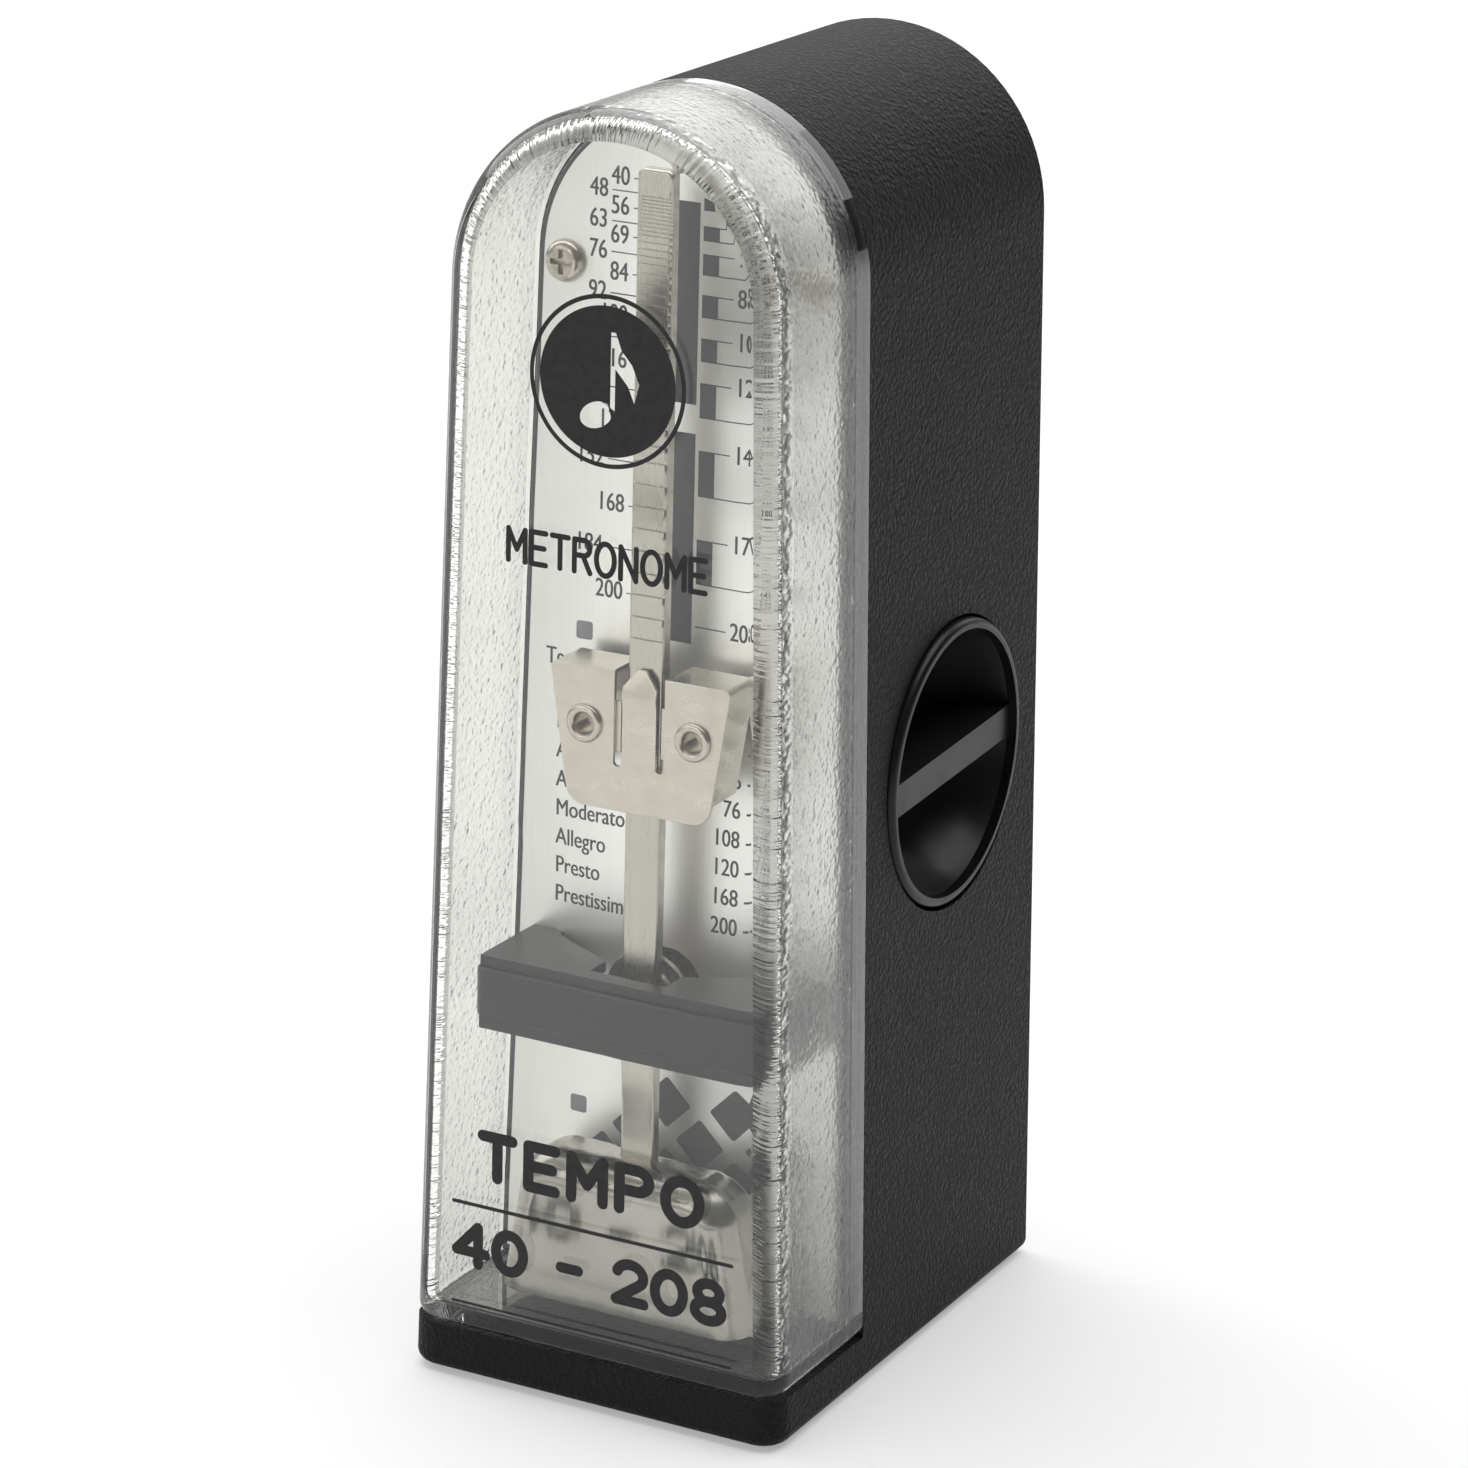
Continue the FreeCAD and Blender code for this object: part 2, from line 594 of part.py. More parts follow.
def rivet(x):
    """Half-hollow rivet with a rolled collar at the front."""
    tube = along_y(RIVET_R, x, RIVET_Z, (SLIDER_Y, -18.4))
    face = SLIDER_Y - 0.6
    collar = along_y(2.25, x, RIVET_Z, (face, SLIDER_Y))
    collar = collar.cut(along_y(RIVET_BORE, x, RIVET_Z, (face - 1, SLIDER_Y + 1)))
    rims = edges_at(collar, lambda p: near(p.y, face))
    tube = tube.cut(along_y(RIVET_BORE, x, RIVET_Z, (SLIDER_Y - 1, SLIDER_Y + 1.4)))
    return tube.fuse(collar.makeFillet(0.42, rims))


# ---------------------------------------------------------------- winding dish
def dish_point(r, x):
    return vec(x, DISH_Y, DISH_Z + r)


def revolved(edges):
    face = Part.Face(Part.Wire(edges))
    return face.revolve(vec(0, DISH_Y, DISH_Z), vec(1, 0, 0), 360)


def chain(points):
    return [Part.makeLine(a, b) for a, b in zip(points, points[1:])]


def dish():
    """Round bowl set in the side wall, with a grip bar across it and a hub behind."""
    rim = DISH_FACE
    outer = [Part.makeLine(dish_point(0, 12.2), dish_point(0, rim)),
             Part.makeLine(dish_point(0, rim), dish_point(DISH_R - RIM_ROUND, rim)),
             Part.Arc(dish_point(DISH_R - RIM_ROUND, rim),
                      dish_point(DISH_R - 0.3 * RIM_ROUND, rim - 0.3 * RIM_ROUND),
                      dish_point(DISH_R, rim - RIM_ROUND)).toShape(),
             Part.makeLine(dish_point(DISH_R, rim - RIM_ROUND), dish_point(DISH_R, 20.4)),
             Part.Arc(dish_point(DISH_R, 20.4), dish_point(13.2, 15.3),
                      dish_point(4.0, 12.2)).toShape(),
             Part.makeLine(dish_point(4.0, 12.2), dish_point(0, 12.2))]
    whole = revolved(outer)
    hollow = [Part.makeLine(dish_point(0, 13.8), dish_point(0, rim + 1)),
              Part.makeLine(dish_point(0, rim + 1), dish_point(15.8, rim + 1)),
              Part.makeLine(dish_point(15.8, rim + 1), dish_point(15.8, rim - 1.2)),
              Part.Arc(dish_point(15.8, rim - 1.2), dish_point(11.9, 15.9),
                       dish_point(0, 13.8)).toShape()]
    bowl = whole.cut(revolved(hollow))
    taper = [(DISH_Z - GRIP_W / 2 - 0.7, 13.0), (DISH_Z + GRIP_W / 2 + 0.7, 13.0),
             (DISH_Z + GRIP_W / 2, rim - 0.9), (DISH_Z - GRIP_W / 2, rim - 0.9)]
    ends = (DISH_Y - DISH_R, DISH_Y + DISH_R)
    wire = Part.makePolygon([vec(x, ends[0], z) for z, x in taper + taper[:1]])
    grip = Part.Face(wire).extrude(vec(0, ends[1] - ends[0], 0)).common(whole)
    bowl = bowl.fuse(turned(grip, GRIP_TILT, DISH_Y, DISH_Z))
    bowl = bowl.fuse(along_x(3.4, DISH_Y, DISH_Z, (11.2, 13.4)))
    return bowl.cut(along_x(BARREL_ARBOR_R, DISH_Y, DISH_Z, (10.0, 12.9)))


# ---------------------------------------------------------------- movement
def frame_plate(x, barrel_hole):
    plate = box(x, FRAME_Y, FRAME_Z)
    corners = edges_at(plate, lambda p: p.y in FRAME_Y and p.z in FRAME_Z)
    plate = plate.makeFillet(3.0, corners)
    cut_x = (x[0] - 1, x[1] + 1)
    plate = plate.cut(along_x(barrel_hole, DISH_Y, DISH_Z, cut_x))
    for y, z in ((MID_Y, MID_Z), (ESC_Y, ESC_Z)):
        plate = plate.cut(along_x(TRAIN_PIVOT_R + RUN, y, z, cut_x))
    for y, z in PILLARS:
        plate = plate.cut(along_x(BOLT_HOLE_R, y, z, cut_x))
    return plate


def click_stud_hole(plate):
    y = DISH_Y + CLICK_OFFSET[0]
    z = DISH_Z + CLICK_OFFSET[1]
    return plate.cut(along_x(0.7, y, z, (PLATE_RIGHT[0] - 1, PLATE_RIGHT[1] + 1)))


def pillar(y, z):
    tube = along_x(PILLAR_R, y, z, (PLATE_LEFT[1], PLATE_RIGHT[0]))
    return tube.cut(along_x(BOLT_HOLE_R, y, z, (PLATE_LEFT[1] - 1, PLATE_RIGHT[0] + 1)))


def frame_bolt(y, z):
    head = along_x(1.9, y, z, (PLATE_RIGHT[1], PLATE_RIGHT[1] + 1.3))
    return head.fuse(along_x(BOLT_R, y, z, (-18.6, PLATE_RIGHT[1])))


def rear_bar():
    bar = box((PLATE_LEFT[1], PLATE_RIGHT[0]), (13.6, 15.6), (44.6, 48.4))
    hole = along_y(1.8, 0, PIVOT_Z, (12.0, 17.0))
    return bar.fuse(along_y(2.6, 0, PIVOT_Z, (13.6, 15.6)).common(
        box((-4, 4), (13, 16), (43.0, 48.4)))).cut(hole)


def rear_bush():
    ring = bearing_bush((13.6, 15.6))
    return ring.common(box((-4, 4), (13, 16), (40.0, 48.4)))


def barrel_arbor():
    arbor = along_x(BARREL_ARBOR_R, DISH_Y, DISH_Z, (PLATE_LEFT[1] + 0.2, 12.8))
    return arbor.fuse(along_x(1.1, DISH_Y, DISH_Z, (PLATE_LEFT[0] + 0.1, 0.0)))


def ratchet():
    wheel = saw_wheel(RATCHET_TEETH, RATCHET_R, RATCHET_R - RATCHET_DEPTH, 0.02,
                      math.pi / 2, DISH_Y, DISH_Z, (9.5, 10.7))
    return wheel.cut(along_x(BARREL_ARBOR_R, DISH_Y, DISH_Z, (9.0, 11.0)))


def click():
    """Pawl in the ratchet, with a radial nose and a round eye on its stud."""
    root = RATCHET_R - RATCHET_DEPTH
    nose = [(0.12, root + 0.2), (1.8, RATCHET_R + 0.12), (7.4, 5.9), (8.6, 5.5),
            (8.6, 8.9), (7.4, 8.7), (1.2, 7.6), (0.12, 6.9)]
    points = [(DISH_Y + u, DISH_Z + v) for u, v in nose]
    y = DISH_Y + CLICK_OFFSET[0]
    z = DISH_Z + CLICK_OFFSET[1]
    pawl = side_prism(points, (9.5, 10.6)).fuse(along_x(1.75, y, z, (9.5, 10.6)))
    return pawl.cut(along_x(0.75, y, z, (9.0, 11.0)))


def click_screw():
    y = DISH_Y + CLICK_OFFSET[0]
    z = DISH_Z + CLICK_OFFSET[1]
    head = along_x(1.4, y, z, (11.4, 12.1))
    return head.fuse(along_x(0.7, y, z, (PLATE_RIGHT[0], 11.4)))


def click_spring():
    """Coil round the stud, between pawl and screw head."""
    y = DISH_Y + CLICK_OFFSET[0]
    z = DISH_Z + CLICK_OFFSET[1]
    coil = along_x(1.3, y, z, (10.75, 11.3))
    return coil.cut(along_x(0.85, y, z, (10.0, 12.0)))


def barrel():
    """Toothed drum that holds the mainspring."""
    drum_x = (-12.8, -3.1)
    web_x = (-12.8, -11.4)
    toward_mid = math.atan2(MID_Z - DISH_Z, MID_Y - DISH_Y)
    shape = gear(BARREL_TEETH, toward_mid, DISH_Y, DISH_Z, web_x)
    shape = shape.fuse(along_x(11.2, DISH_Y, DISH_Z, drum_x))
    shape = shape.cut(along_x(10.6, DISH_Y, DISH_Z, (web_x[1], 0.0)))
    return shape.cut(along_x(BARREL_ARBOR_R + RUN, DISH_Y, DISH_Z, (-20.0, 0.0)))


def barrel_cap():
    cap = along_x(10.55, DISH_Y, DISH_Z, (-3.9, -3.1))
    return cap.cut(along_x(BARREL_ARBOR_R + RUN, DISH_Y, DISH_Z, (-5.0, 0.0)))


def mainspring():
    """Coiled strip, built from half turns whose radius grows by half a pitch each."""
    pitch = 0.9
    strip = 0.35
    first_r = 3.3
    x = (-11.2, -4.2)
    shape = None
    for k in range(15):
        r = first_r + k * pitch / 2
        y = DISH_Y + (pitch / 2 if k % 2 else 0.0)
        ring = along_x(r + strip, y, DISH_Z, x).cut(along_x(r, y, DISH_Z, x))
        z = (DISH_Z - 20, DISH_Z) if k % 2 else (DISH_Z, DISH_Z + 20)
        half = ring.common(box(x, (DISH_Y - 20, DISH_Y + 20), z))
        shape = half if shape is None else shape.fuse(half)
    return shape


def train_arbor(y, z):
    arbor = along_x(TRAIN_ARBOR_R, y, z, (PLATE_LEFT[1] + 0.2, PLATE_RIGHT[0] - 0.2))
    return arbor.fuse(along_x(TRAIN_PIVOT_R, y, z, (PLATE_LEFT[0], PLATE_RIGHT[1])))


def bored(shape, y, z):
    return shape.cut(along_x(TRAIN_ARBOR_R, y, z, (-20.0, 20.0)))


def mid_pinion():
    back = math.atan2(DISH_Z - MID_Z, DISH_Y - MID_Y)
    shape = gear(MID_PINION, back + math.pi / MID_PINION, MID_Y, MID_Z, (-13.4, -10.8))
    return bored(shape, MID_Y, MID_Z)


def mid_wheel():
    toward = math.atan2(ESC_Z - MID_Z, ESC_Y - MID_Y)
    x = (2.6, 3.6)
    shape = gear(MID_WHEEL, toward, MID_Y, MID_Z, x)
    shape = crossed_out(shape, 5, 1.9, 4.9, MID_Y, MID_Z, x)
    return bored(shape, MID_Y, MID_Z)


def esc_pinion():
    back = math.atan2(MID_Z - ESC_Z, MID_Y - ESC_Y)
    shape = gear(ESC_PINION, back + math.pi / ESC_PINION, ESC_Y, ESC_Z, (2.1, 4.1))
    return bored(shape, ESC_Y, ESC_Z)


def esc_wheel():
    x = (-0.5, 0.5)
    wheel = saw_wheel(ESC_TEETH, ESC_R, ESC_R - 1.7, 0.05, math.pi / 2, ESC_Y, ESC_Z, x)
    wheel = crossed_out(wheel, 4, 1.3, 3.1, ESC_Y, ESC_Z, x)
    return bored(wheel, ESC_Y, ESC_Z)


# ---------------------------------------------------------------- write every sub-part
def main():
    os.makedirs("parts", exist_ok=True)
    body = outer_body()
    save("case_shell", case_shell(body))
    save("clear_cover", cover(body))
    save("base_plate", base_plate())
    for k, (x, y) in enumerate(BASE_SCREWS):
        save("base_screw_%d" % (k + 1), base_screw(x, y))
    for k, (x, y) in enumerate(FEET):
        save("rubber_foot_%d" % (k + 1), foot(x, y))

    save("scale_plate", scale_plate())
    for name, side in (("left", -1), ("right", 1)):
        head = pan_head(side * SCREW_X, SCREW_Z, PLATE_Y, 2.45, 1.3)
        shank = along_y(1.0, side * SCREW_X, SCREW_Z, (PLATE_Y, LEDGE_Y - 1.4))
        save("plate_screw_" + name, head.fuse(shank))
        save("bridge_screw_" + name, bolt_y(side * 16.0, 46.0, PLINTH_Y, PLATE_Y - 2.2))
    save("bridge", bridge())
    save("front_bush", bearing_bush((-26.9, BRIDGE_BACK)))

    save("pendulum_rod", pendulum_rod())
    save("counterweight", bob())
    save("counterweight_screw", bob_screw())
    save("pendulum_arbor", pendulum_arbor())
    save("arbor_hub", arbor_hub())
    save("pallets", pallets())

    save("slider_shell", slider_shell())
    save("slider_block", slider_block())
    save("slider_rivet_left", rivet(-RIVET_X))
    save("slider_rivet_right", rivet(RIVET_X))

    save("frame_plate_left", frame_plate(PLATE_LEFT, 1.1 + RUN))
    save("frame_plate_right",
         click_stud_hole(frame_plate(PLATE_RIGHT, BARREL_ARBOR_R + RUN)))
    for k, (y, z) in enumerate(PILLARS):
        save("pillar_%d" % (k + 1), pillar(y, z))
        save("frame_bolt_%d" % (k + 1), frame_bolt(y, z))
    save("rear_bar", rear_bar())
    save("rear_bush", rear_bush())

    save("winding_dish", dish())
    save("barrel_arbor", barrel_arbor())
    save("ratchet_wheel", ratchet())
    save("click", click())
    save("click_screw", click_screw())
    save("click_spring", click_spring())

    save("barrel", barrel())
    save("barrel_cap", barrel_cap())
    save("mainspring", mainspring())
    save("middle_arbor", train_arbor(MID_Y, MID_Z))
    save("middle_pinion", mid_pinion())
    save("middle_wheel", mid_wheel())
    save("escape_arbor", train_arbor(ESC_Y, ESC_Z))
    save("escape_pinion", esc_pinion())
    save("escape_wheel", esc_wheel())


main()
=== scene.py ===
"""Looks of the slim wind-up metronome: metres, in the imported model's frame."""
import bmesh
import bpy
import json
import math
from mathutils import Matrix, Vector, geometry


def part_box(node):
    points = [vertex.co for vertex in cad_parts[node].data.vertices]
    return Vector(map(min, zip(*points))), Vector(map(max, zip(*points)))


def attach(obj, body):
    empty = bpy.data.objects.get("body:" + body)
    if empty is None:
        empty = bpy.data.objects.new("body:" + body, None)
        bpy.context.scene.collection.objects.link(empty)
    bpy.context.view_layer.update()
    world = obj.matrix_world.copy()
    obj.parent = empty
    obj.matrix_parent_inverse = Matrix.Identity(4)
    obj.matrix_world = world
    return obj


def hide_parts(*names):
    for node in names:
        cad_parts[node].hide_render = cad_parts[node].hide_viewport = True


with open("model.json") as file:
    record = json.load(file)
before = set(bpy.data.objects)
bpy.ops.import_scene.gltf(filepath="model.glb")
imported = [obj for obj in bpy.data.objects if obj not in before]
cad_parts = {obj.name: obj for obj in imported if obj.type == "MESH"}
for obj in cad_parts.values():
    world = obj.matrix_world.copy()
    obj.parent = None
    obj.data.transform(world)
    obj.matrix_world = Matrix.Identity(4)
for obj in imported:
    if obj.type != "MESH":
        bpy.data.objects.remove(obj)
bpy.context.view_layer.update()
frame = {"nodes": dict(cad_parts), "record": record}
NODES = frame["nodes"]
SLOTS = {part["node"]: part["material_slot"] for part in frame["record"]["subparts"]}
MM = 0.001

# ---------------------------------------------------------------- sizes taken from the frame
CASE_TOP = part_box("case_shell")[1][2]
COVER_LOW, COVER_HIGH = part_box("clear_cover")
PLATE_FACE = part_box("scale_plate")[0][1]

# Arched outline shared by case and cover: a round top on straight sides that lean in.
ARCH_R = 20.62 * MM
SIDE_LEAN = math.radians(1.573)
ARCH_Z = COVER_HIGH[2] - ARCH_R

# Cover: wall, window and edge rounding.
WALL = 1.7 * MM
WINDOW = 1.5 * MM
INK_ROOM = 0.03 * MM            # the window's face stands this far inside, under the ink
FRONT_EDGE_R = 3.4 * MM
INNER_EDGE_R = 1.8 * MM
RIM_STEP = 0.35 * MM            # the wall is thinner where it laps the plinth
RIM_Y = COVER_HIGH[1] - 2.3 * MM
RIB_PITCH = 0.9 * MM
FOOT_EDGE_R = 0.9 * MM          # rounding of the bottom edge, in front
INNER_FOOT_R = 1.2 * MM
FOOT_CORNER_R = 1.6 * MM        # rounding of the two bottom corners, seen from the front
INNER_CORNER_R = 0.7 * FOOT_CORNER_R

# Steps of the outline: foot, each rounded foot corner, each side, arch.
FOOT_STEPS, CORNER_STEPS, SIDE_STEPS, ARC_STEPS = 16, 6, 60, 96

# What the cover's UV stores as V: which texture a place on the wall has.
PLAIN, RIBBED, RIPPLED = 0.0, 0.5, 0.9

# Tempo scale: the usual series of marks, which stand alternately on the left and the right.
TEMPOS = (list(range(40, 60, 2)) + list(range(60, 72, 3)) + list(range(72, 120, 4))
          + list(range(120, 144, 6)) + list(range(144, 209, 8)))
LEFT_TEMPOS = TEMPOS[0:9:4] + TEMPOS[11::2]
RIGHT_TEMPOS = TEMPOS[2:10:4] + TEMPOS[10::2]

# A mark h above the pivot has the rate sqrt((A - h) / (B + h * h)).
PIVOT_Z = 46.8 * MM
SCALE_TOP = 139.1 * MM
SCALE_FOOT = 89.4 * MM
SCALE_A = 96.0 * MM
SCALE_B = 5290.0 * MM * MM
HALVINGS = 40                   # of the search for a mark's height

# Printing.
PRINT_T = 0.02 * MM
BOLD = 0.07 * MM                # each letter is printed twice, this far apart
LETTER_STEPS = 6                # of a letter's curves
CAP_STEPS = 10                  # of the half circle at a stroke's end


# ---------------------------------------------------------------- node material helpers
class Nodes:
    """Shorthand for building one node tree."""

    def __init__(self, name):
        self.material = bpy.data.materials.new(name)
        self.material.use_nodes = True
        self.tree = self.material.node_tree
        self.shader = self.tree.nodes["Principled BSDF"]
        self.output = self.tree.nodes["Material Output"]
        self.coords = self.add("ShaderNodeTexCoord").outputs["Object"]

    def add(self, kind, **values):
        """New node, with values for its properties or, if it has no such property, its inputs."""
        node = self.tree.nodes.new(kind)
        for key, value in values.items():
            if hasattr(node, key):
                setattr(node, key, value)
            else:
                node.inputs[key.replace("_", " ")].default_value = value
        return node

    def link(self, a, b):
        self.tree.links.new(a, b)

    def scaled(self, x, y, z):
        """Object coordinates stretched by a factor along each axis."""
        mapping = self.add("ShaderNodeMapping")
        mapping.inputs["Scale"].default_value = (x, y, z)
        self.link(self.coords, mapping.inputs["Vector"])
        return mapping.outputs["Vector"]

    def noise(self, scale, detail=2.0, rough=0.5, vector=None):
        node = self.add("ShaderNodeTexNoise", Scale=scale, Detail=detail, Roughness=rough)
        self.link(vector or self.coords, node.inputs["Vector"])
        return node.outputs["Fac"]

    def ramp(self, source, stops):
        """Colour ramp from (position, value or colour) pairs."""
        node = self.add("ShaderNodeValToRGB")
        elements = node.color_ramp.elements
        while len(elements) < len(stops):
            elements.new(0.5)
        for element, (position, value) in zip(elements, stops):
            element.position = position
            colour = (value, value, value) if isinstance(value, float) else value
            element.color = (*colour, 1.0)
        self.link(source, node.inputs["Fac"])
        return node.outputs["Color"]

    def math(self, operation, a, b):
        node = self.add("ShaderNodeMath", operation=operation)
        for socket, value in zip(node.inputs, (a, b)):
            if isinstance(value, (int, float)):
                socket.default_value = value
            else:
                self.link(value, socket)
        return node.outputs[0]

    def bump(self, height, strength, distance, under=None):
        """Normal of a relief, on top of the normal of another relief if under is given."""
        node = self.add("ShaderNodeBump", Strength=strength, Distance=distance)
        self.link(height, node.inputs["Height"])
        if under is not None:
            self.link(under, node.inputs["Normal"])
        return node.outputs["Normal"]

    def set(self, **values):
        """Constants straight on the shader's own sockets."""
        for key, value in values.items():
            name = key.replace("_", " ")
            self.shader.inputs[name].default_value = value


def rgba(r, g, b):
    return (r, g, b, 1.0)


# ---------------------------------------------------------------- materials
def leather_plastic():
    """Black moulded plastic with a fine leather grain."""
    m = Nodes("leather_plastic")
    cells = m.add("ShaderNodeTexVoronoi", Scale=1650.0, Randomness=1.0)
    m.link(m.coords, cells.inputs["Vector"])
    soft = m.noise(1900.0)
    pebbles = m.math("ADD", m.math("MULTIPLY", cells.outputs["Distance"], -0.9), soft)
    m.link(m.bump(pebbles, 0.9, 0.00018), m.shader.inputs["Normal"])
    m.link(m.ramp(m.noise(45.0, 2.0), [(0.3, (0.0046, 0.0046, 0.0042)),
                                       (0.7, (0.0066, 0.0066, 0.0060))]),
           m.shader.inputs["Base Color"])
    m.link(m.ramp(pebbles, [(0.1, 0.58), (0.6, 0.38)]), m.shader.inputs["Roughness"])
    m.set(Specular_IOR_Level=0.17)
    return m.material


def smooth_plastic(name, dark, light, rough, grain, gloss):
    """Satin moulded plastic with a faint moulding texture."""
    m = Nodes(name)
    m.link(m.bump(m.noise(1600.0, 2.0), grain, 0.00004), m.shader.inputs["Normal"])
    m.link(m.ramp(m.noise(60.0, 3.0), [(0.3, dark), (0.7, light)]),
           m.shader.inputs["Base Color"])
    m.link(m.ramp(m.noise(220.0, 3.0), [(0.3, rough - 0.05), (0.7, rough + 0.05)]),
           m.shader.inputs["Roughness"])
    m.set(Specular_IOR_Level=gloss)
    return m.material


def rubber():
    """Dull black rubber of the feet."""
    m = Nodes("foot_rubber_look")
    m.link(m.bump(m.noise(2200.0, 2.0), 0.5, 0.00005), m.shader.inputs["Normal"])
    m.link(m.ramp(m.noise(90.0, 2.0), [(0.3, (0.018, 0.018, 0.018)), (0.7, (0.03, 0.03, 0.03))]),
           m.shader.inputs["Base Color"])
    m.set(Roughness=0.85, Specular_IOR_Level=0.25)
    return m.material


def brushed_metal(name, dark, light, rough, stretch, line):
    """Metal with fine lines along the axis in which stretch is small; line is their depth."""
    m = Nodes(name)
    lines = m.noise(1.0, 4.0, 0.7, m.scaled(*stretch))
    cloud = m.noise(120.0, 3.0)
    tone = m.math("ADD", m.math("MULTIPLY", lines, 0.7), m.math("MULTIPLY", cloud, 0.3))
    m.link(m.ramp(tone, [(0.3, dark), (0.7, light)]), m.shader.inputs["Base Color"])
    m.link(m.ramp(tone, [(0.3, rough + 0.06), (0.7, rough - 0.05)]),
           m.shader.inputs["Roughness"])
    m.link(m.bump(lines, line, 0.00002), m.shader.inputs["Normal"])
    m.set(Metallic=1.0)
    return m.material


def chrome():
    """Polished plating with the slight waviness of a cast surface."""
    m = Nodes("polished_plating")
    wave = m.noise(1.0, 2.0, 0.5, m.scaled(520.0, 520.0, 50.0))
    m.link(m.bump(wave, 0.35, 0.0003), m.shader.inputs["Normal"])
    m.link(m.ramp(m.noise(60.0, 3.0), [(0.3, (0.32, 0.31, 0.285)), (0.7, (0.44, 0.425, 0.39))]),
           m.shader.inputs["Base Color"])
    m.link(m.ramp(m.noise(400.0, 3.0), [(0.3, 0.17), (0.7, 0.25)]),
           m.shader.inputs["Roughness"])
    m.set(Metallic=1.0)
    return m.material


def ink(name, dark, light):
    """Screen-printed ink."""
    m = Nodes(name)
    m.link(m.ramp(m.noise(900.0, 2.0), [(0.3, dark), (0.7, light)]),
           m.shader.inputs["Base Color"])
    m.link(m.bump(m.noise(3000.0, 1.0), 0.2, 0.00002), m.shader.inputs["Normal"])
    m.set(Roughness=0.5, Specular_IOR_Level=0.3)
    return m.material


def clear_plastic():
    """Clear moulding: a smooth window, and rippled walls with a ribbed band at the front edge.

    The ribs and the ripple follow the mesh's UV: U runs along the outline, V is PLAIN, RIBBED
    or RIPPLED. Lamps and diffuse light pass straight through.
    """
    m = Nodes("clear_plastic")
    uv = m.add("ShaderNodeUVMap", uv_map="outline")
    split = m.add("ShaderNodeSeparateXYZ")
    m.link(uv.outputs["UV"], split.inputs[0])
    along = split.outputs[0]
    region = split.outputs[1]
    # The edges of both bands lie between PLAIN, RIBBED and RIPPLED.
    ribbed = m.ramp(region, [(0.30, 0.0), (0.34, 1.0), (0.62, 1.0), (0.66, 0.0)])
    rippled = m.ramp(region, [(0.64, 0.0), (0.68, 1.0)])

    run = m.add("ShaderNodeCombineXYZ")
    m.link(m.math("MULTIPLY", along, 1.0 / RIB_PITCH), run.inputs[0])
    m.link(m.math("MULTIPLY", m.noise(260.0, 1.0), 0.7), run.inputs[1])
    ribs = m.noise(2.0, 1.0, 0.5, run.outputs[0])
    rib_normal = m.bump(m.math("MULTIPLY", ribs, ribbed), 0.8, 0.0003)
    cells = m.add("ShaderNodeTexVoronoi", Scale=1700.0, feature="SMOOTH_F1")
    m.link(m.coords, cells.inputs["Vector"])
    ripple = m.math("ADD", m.math("MULTIPLY", cells.outputs["Distance"], -0.7),
                    m.noise(1000.0, 1.0))
    normal = m.bump(m.math("MULTIPLY", ripple, rippled), 0.45, 0.00018, rib_normal)
    m.link(normal, m.shader.inputs["Normal"])
    rough = m.math("ADD", m.math("MULTIPLY", rippled, 0.17), m.math("MULTIPLY", ribbed, 0.04))
    m.link(m.math("ADD", rough, 0.005), m.shader.inputs["Roughness"])
    # Base colour: the window nearly clear; the ribbed band is painted grey, as painted shade for
    # the dark band that the ribs show; the rippled walls have a pale grey tint.
    m.link(m.ramp(region, [(0.30, (0.975, 0.975, 0.955)), (0.34, (0.44, 0.43, 0.41)),
                           (0.62, (0.44, 0.43, 0.41)), (0.66, (0.80, 0.80, 0.775))]),
           m.shader.inputs["Base Color"])
    m.set(Transmission_Weight=1.0, IOR=1.49)

    path = m.add("ShaderNodeLightPath")
    lamp = m.math("MAXIMUM", path.outputs["Is Shadow Ray"], path.outputs["Is Diffuse Ray"])
    clear = m.add("ShaderNodeBsdfTransparent", Color=rgba(0.93, 0.94, 0.94))
    mix = m.add("ShaderNodeMixShader")
    m.link(lamp, mix.inputs[0])
    m.link(m.shader.outputs[0], mix.inputs[1])
    m.link(clear.outputs[0], mix.inputs[2])
    m.link(mix.outputs[0], m.output.inputs["Surface"])
    return m.material


LEATHER = leather_plastic()
DISH = smooth_plastic("dish_plastic", (0.0045, 0.0045, 0.005), (0.008, 0.008, 0.009), 0.34, 0.12,
                      0.25)
BRIDGE = smooth_plastic("bridge_plastic", (0.011, 0.012, 0.0135), (0.016, 0.017, 0.0185), 0.33, 0.3,
                        0.35)
RUBBER = rubber()
PLATE = brushed_metal("brushed_plate", (0.90, 0.90, 0.89), (0.99, 0.99, 0.98), 0.36,
                      (4200.0, 900.0, 60.0), 0.3)
ROD = brushed_metal("rod_steel_look", (0.46, 0.44, 0.395), (0.52, 0.495, 0.445), 0.25,
                    (2600.0, 2600.0, 60.0), 0.03)
SLIDER = brushed_metal("slider_steel_look", (0.53, 0.495, 0.43), (0.63, 0.595, 0.525), 0.29,
                       (300.0, 300.0, 500.0), 0.015)
NICKEL = brushed_metal("nickel_look", (0.46, 0.42, 0.37), (0.58, 0.54, 0.48), 0.2,
                       (900.0, 900.0, 900.0), 0.06)
STEEL = brushed_metal("plain_steel_look", (0.38, 0.38, 0.39), (0.52, 0.52, 0.53), 0.3,
                      (900.0, 1500.0, 900.0), 0.3)
BRASS = brushed_metal("brass_look", (0.55, 0.40, 0.16), (0.70, 0.53, 0.25), 0.28,
                      (1500.0, 300.0, 1500.0), 0.3)
BLUED = brushed_metal("blued_steel_look", (0.10, 0.12, 0.18), (0.20, 0.22, 0.30), 0.28,
                      (300.0, 1500.0, 1500.0), 0.3)
CHROME = chrome()
PLATE_INK = ink("plate_ink", (0.040, 0.041, 0.045), (0.060, 0.061, 0.066))
